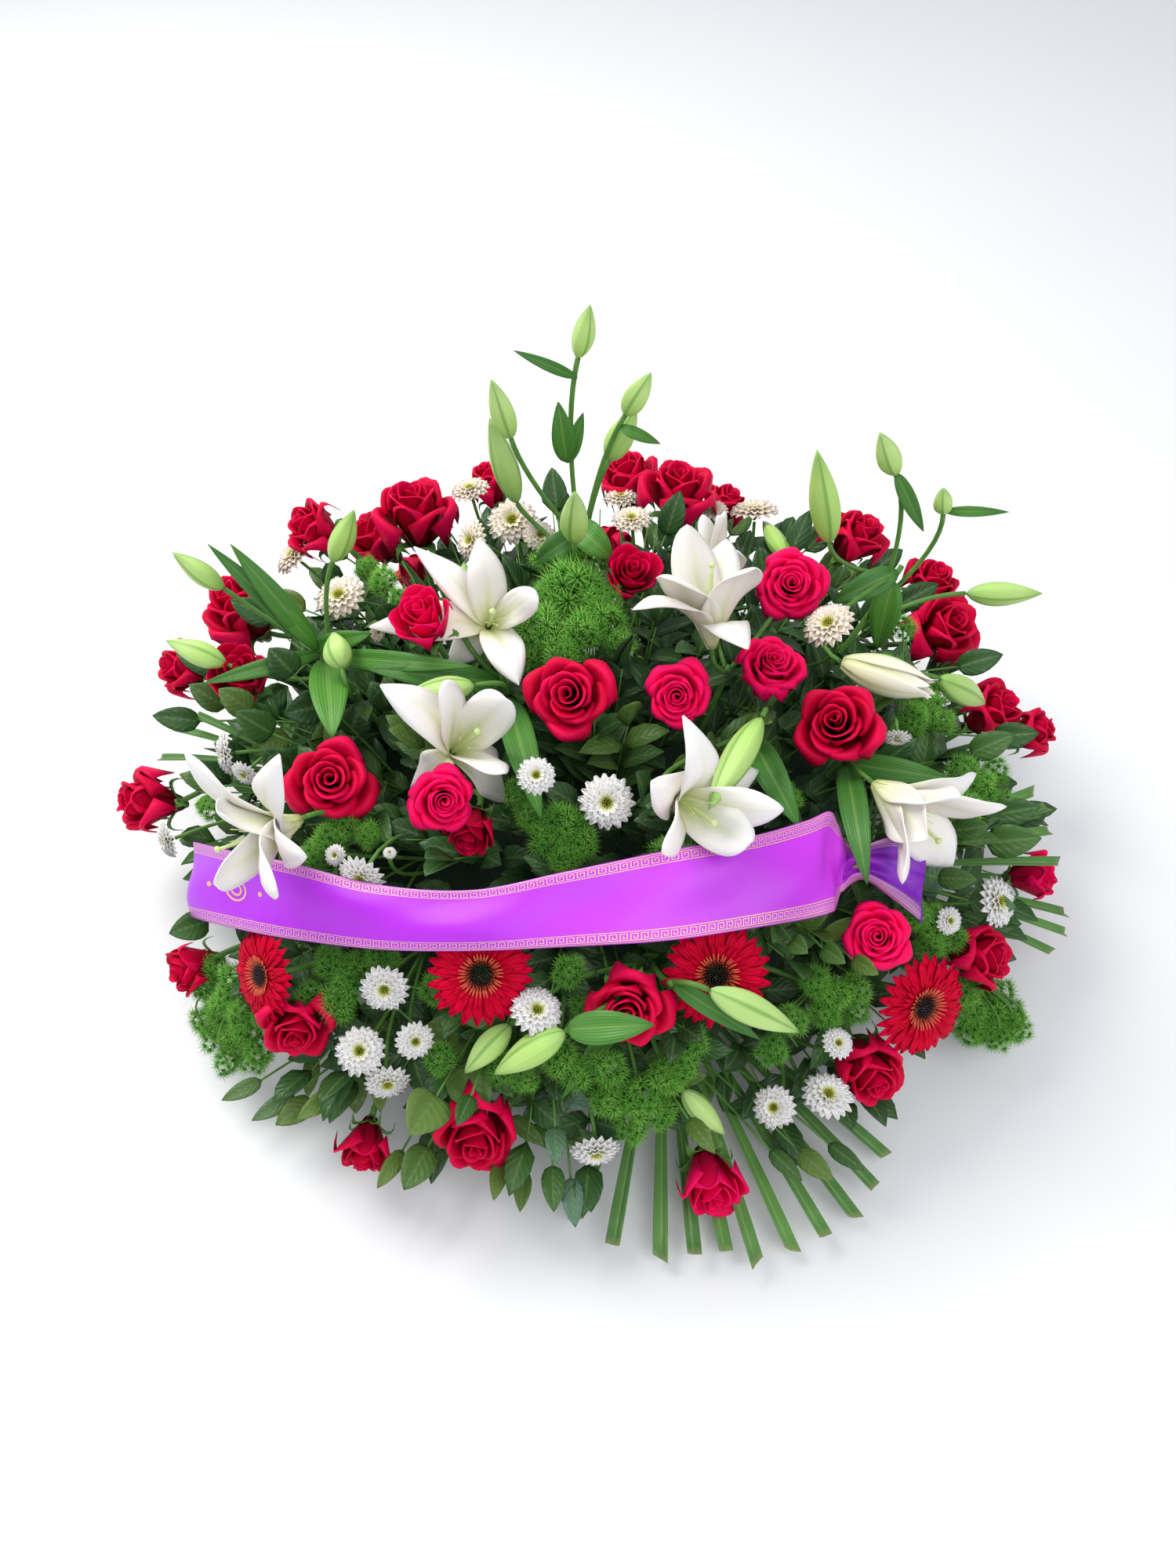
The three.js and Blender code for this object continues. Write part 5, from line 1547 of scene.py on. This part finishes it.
# Foliage
# Leafy sprigs of several evergreens hide the foam: olive, dark and blue-green leaves along thin twigs. Under
# the flowers the same sprigs stand close together.
foliage_finish = Finish("evergreen_leaf", roughness=0.38, Specular_IOR_Level=0.3)
across, along, tone = petal_parts(foliage_finish)
colour = foliage_finish.ramp(
    tone, (0.0, (0.008, 0.035, 0.010)), (0.35, (0.016, 0.075, 0.018)), (0.6, (0.055, 0.14, 0.025)),
    (0.8, (0.15, 0.23, 0.035)), (0.9, (0.07, 0.16, 0.10)), (1.0, (0.12, 0.22, 0.16)),
)
mottled = foliage_finish.blend(foliage_finish.noise(35, 3) * 0.5, colour, (0.09, 0.18, 0.05))
side_ribs = foliage_finish.sine((along * 40.0) - (across * across) ** 0.5 * 14.0)
rib = foliage_finish.ramp(across * across, (0.0, (1, 1, 1)), (0.01, (0.3, 0.3, 0.3)), (0.04, (0, 0, 0)))
veined = foliage_finish.blend(rib * 0.55, mottled, (0.16, 0.27, 0.09))
foliage_finish.set("Base Color", veined)
foliage_finish.set("Roughness", 0.30 + 0.16 * foliage_finish.noise(50, 3))
foliage_finish.bump(side_ribs * 0.35 + rib * 0.65, 0.0005, 0.6)


# Whether a leaf here would hide, or pass through, what stands in view
def in_the_way(point):
    to_eye = (eye - point).normalized()
    for at, reach in standing:
        gap = point - at
        near = gap.dot(to_eye)
        if near > -0.6 * reach and (gap - to_eye * near).length < reach + 0.004:
            return True
    return False


# Fine sprigs show, and bear their leaves by turns on either side of the twig. The others fill in under the
# flowers with leaves in pairs.
def sprig(greens, blades, root, tip, length, wide, pairs, start, tone, draw, fine=True):
    axis = (tip - root).normalized()
    line = stem_line(root, tip, axis.lerp(Vector((0, 0, 1)), -0.35).normalized())
    lay_rod(greens, rod if fine else thin_rod, line, 0.0018 if fine else 0.0014, 0.5)
    to_eye = (eye - tip).normalized() if fine else Vector((tip.x * 0.6, tip.y * 0.6, 0.25)).normalized()
    for i in range(pairs + 1):
        share = start + (1 - start) * i / pairs
        foot = on_stem(line, share * 0.99, 1) if fine else bezier(*line, share)
        hands = (-1, 1)
        if fine:
            hands = (1,) if i % 2 else (-1,)
        for hand in hands:
            side = axis.cross(to_eye).normalized() * hand
            out = axis if i == pairs else (axis * 0.55 + side * 0.85).normalized()
            if not fine:
                out = (out + Vector([draw.uniform(-0.35, 0.35) for _ in range(3)])).normalized()
            end = foot + out * length * (1 if fine else draw.uniform(0.75, 1.15))
            if not fine and (in_the_way(end) or in_the_way(foot.lerp(end, 0.5))):
                continue
            shade = min(1, max(0, tone + draw.uniform(-0.09, 0.09)))
            size = dict(across=4, along=8) if fine else dict(across=2, along=4)
            leaf(blades, bowed(foot, end, 3, to_eye), to_eye, wide, 0.35, shade, blunt=0.75, **size)


thin_rod = rod_form(4, 4)

# Each row: where the tip of a sprig shows, its leaves' length and width, and their tone
sprigs = {
    "foliage_front": [
        (mound(545, 1465), 40, 26, 0.68), (mound(395, 1405), 34, 20, 0.80),
        (mound(705, 1490), 38, 18, 0.62), (mound(1020, 1470), 36, 18, 0.66),
        (mound(372, 1398), 38, 15, 0.80), (mound(428, 1392), 40, 16, 0.76),
        (mound(512, 1470), 36, 14, 0.70), (mound(556, 1400, -6), 46, 34, 0.74),
        (mound(640, 1480), 36, 14, 0.74), (mound(668, 1496), 34, 14, 0.70),
        (mound(728, 1506), 40, 17, 0.96), (mound(708, 1440), 36, 16, 0.98),
        (mound(600, 1400), 34, 15, 0.45), (mound(880, 1430), 38, 15, 0.70),
        (mound(985, 1470), 34, 14, 0.5), (mound(1060, 1462), 34, 14, 0.4),
        (mound(330, 1380), 34, 14, 0.80),
    ],
    "foliage_left": [
        (mound(345, 935, 14), 40, 26, 0.4), (mound(262, 1176, 30), 34, 24, 0.4),
        (mound(285, 900, 20), 36, 22, 0.6), (mound(318, 905, 10), 34, 24, 0.68),
        (mound(372, 858, 0), 32, 28, 0.3),
    ],
    "foliage_right": [
        (mound(1262, 1075, 14), 44, 28, 0.56), (mound(1240, 1150, 24), 38, 24, 0.95),
        (mound(1240, 960, 24), 40, 24, 0.5), (mound(1010, 1200, -2), 36, 15, 0.7),
        (mound(1050, 1210, -2), 38, 15, 0.66), (mound(1090, 1225, 4), 34, 14, 0.74),
        (mound(1215, 1060, 6), 34, 18, 0.5), (mound(1268, 1040, 12), 40, 24, 0.45),
        (mound(1200, 1120, 6), 34, 18, 0.7),
    ],
    "foliage_back": [
        (Vector((-0.08, 0.33, 0.12)), 44, 26, 0.5),
        (Vector((0.15, 0.325, 0.12)), 44, 26, 0.6),
        (Vector((-0.285, 0.22, 0.11)), 40, 24, 0.7),
        (mound(1150, 770, 36), 42, 24, 0.3), (mound(1225, 850, 26), 42, 24, 0.35),
        (mound(1110, 730, 44), 42, 24, 0.3), (mound(1030, 700, 46), 42, 24, 0.4),
        (mound(345, 790, 34), 42, 24, 0.3), (mound(280, 850, 26), 42, 24, 0.35),
        (mound(440, 710, 44), 42, 24, 0.3), (mound(560, 660, 50), 42, 24, 0.35),
        (mound(710, 650, 52), 42, 24, 0.3), (mound(250, 920, 26), 40, 22, 0.4),
        (mound(1270, 940, 26), 40, 24, 0.35), (mound(850, 680, 50), 42, 24, 0.3),
    ],
}
nudges = {"foliage_front": (-10, 0), "foliage_right": (-18, 12)}
draw = random.Random(17)
under = {name: (bmesh.new(), bmesh.new()) for name in sprigs}
for name, rows in sprigs.items():
    greens, blades = under[name]
    root = root_of([tip for tip, *_ in rows], nudges.get(name, (0, 0)))
    for tip, length, wide, tone in rows:
        sprig(greens, blades, root, tip, length / 1000, wide / 1000, 3, 0.5, tone, draw)

# The sprigs under the flowers, on rings round the mound and up to a hand's breadth below its outline. Each
# row: how high a ring is, as a share of the way up, and how many sprigs it has. The last two rings only
# thicken the back, where light would show through.
rings = ((0.06, 46), (0.18, 46), (0.34, 42), (0.52, 36), (0.70, 28), (0.88, 18), (0.26, 46), (0.44, 40))
for ring, (lift, count) in enumerate(rings):
    for i in range(count):
        turn = (i + 0.5 * (ring % 2)) * 2 * math.pi / count + draw.uniform(-0.08, 0.08)
        lifted = math.radians(90 * lift + draw.uniform(-5, 5))
        level_part = math.cos(lifted)
        way = Vector((math.cos(turn) * level_part, math.sin(turn) * level_part, math.sin(lifted)))
        depth = draw.uniform(0.84, 0.98) - (0.13 if way.x < -0.7 else 0.0)
        if ring >= len(rings) - 2 and way.y < 0.15:
            continue
        tip = Vector((mound_half[k] * way[k] * depth + mound_middle[k] for k in range(3)))
        root_x = math.copysign(min(abs(tip.x) * 0.5, 0.19), tip.x)
        root_y = math.copysign(min(abs(tip.y) * 0.42, 0.13), tip.y)
        root = Vector((root_x, root_y, 0.06))
        name = "foliage_right" if way.x > 0 else "foliage_left"
        if way.y > 0.55:
            name = "foliage_back"
        elif way.y < -0.45:
            name = "foliage_front"
        greens, blades = under[name]
        tone = draw.choice((0.05, 0.15, 0.25, 0.3, 0.35, 0.45, 0.6))
        sprig(greens, blades, root, tip, 0.042, 0.021, 3, 0.42, tone, draw, fine=False)
for name, (greens, blades) in under.items():
    thicken(blades, 0.0006)
    new_piece(f"{name}_leaves", blades, foliage_finish, [name])
    new_piece(f"{name}_twigs", greens, stem_finish)
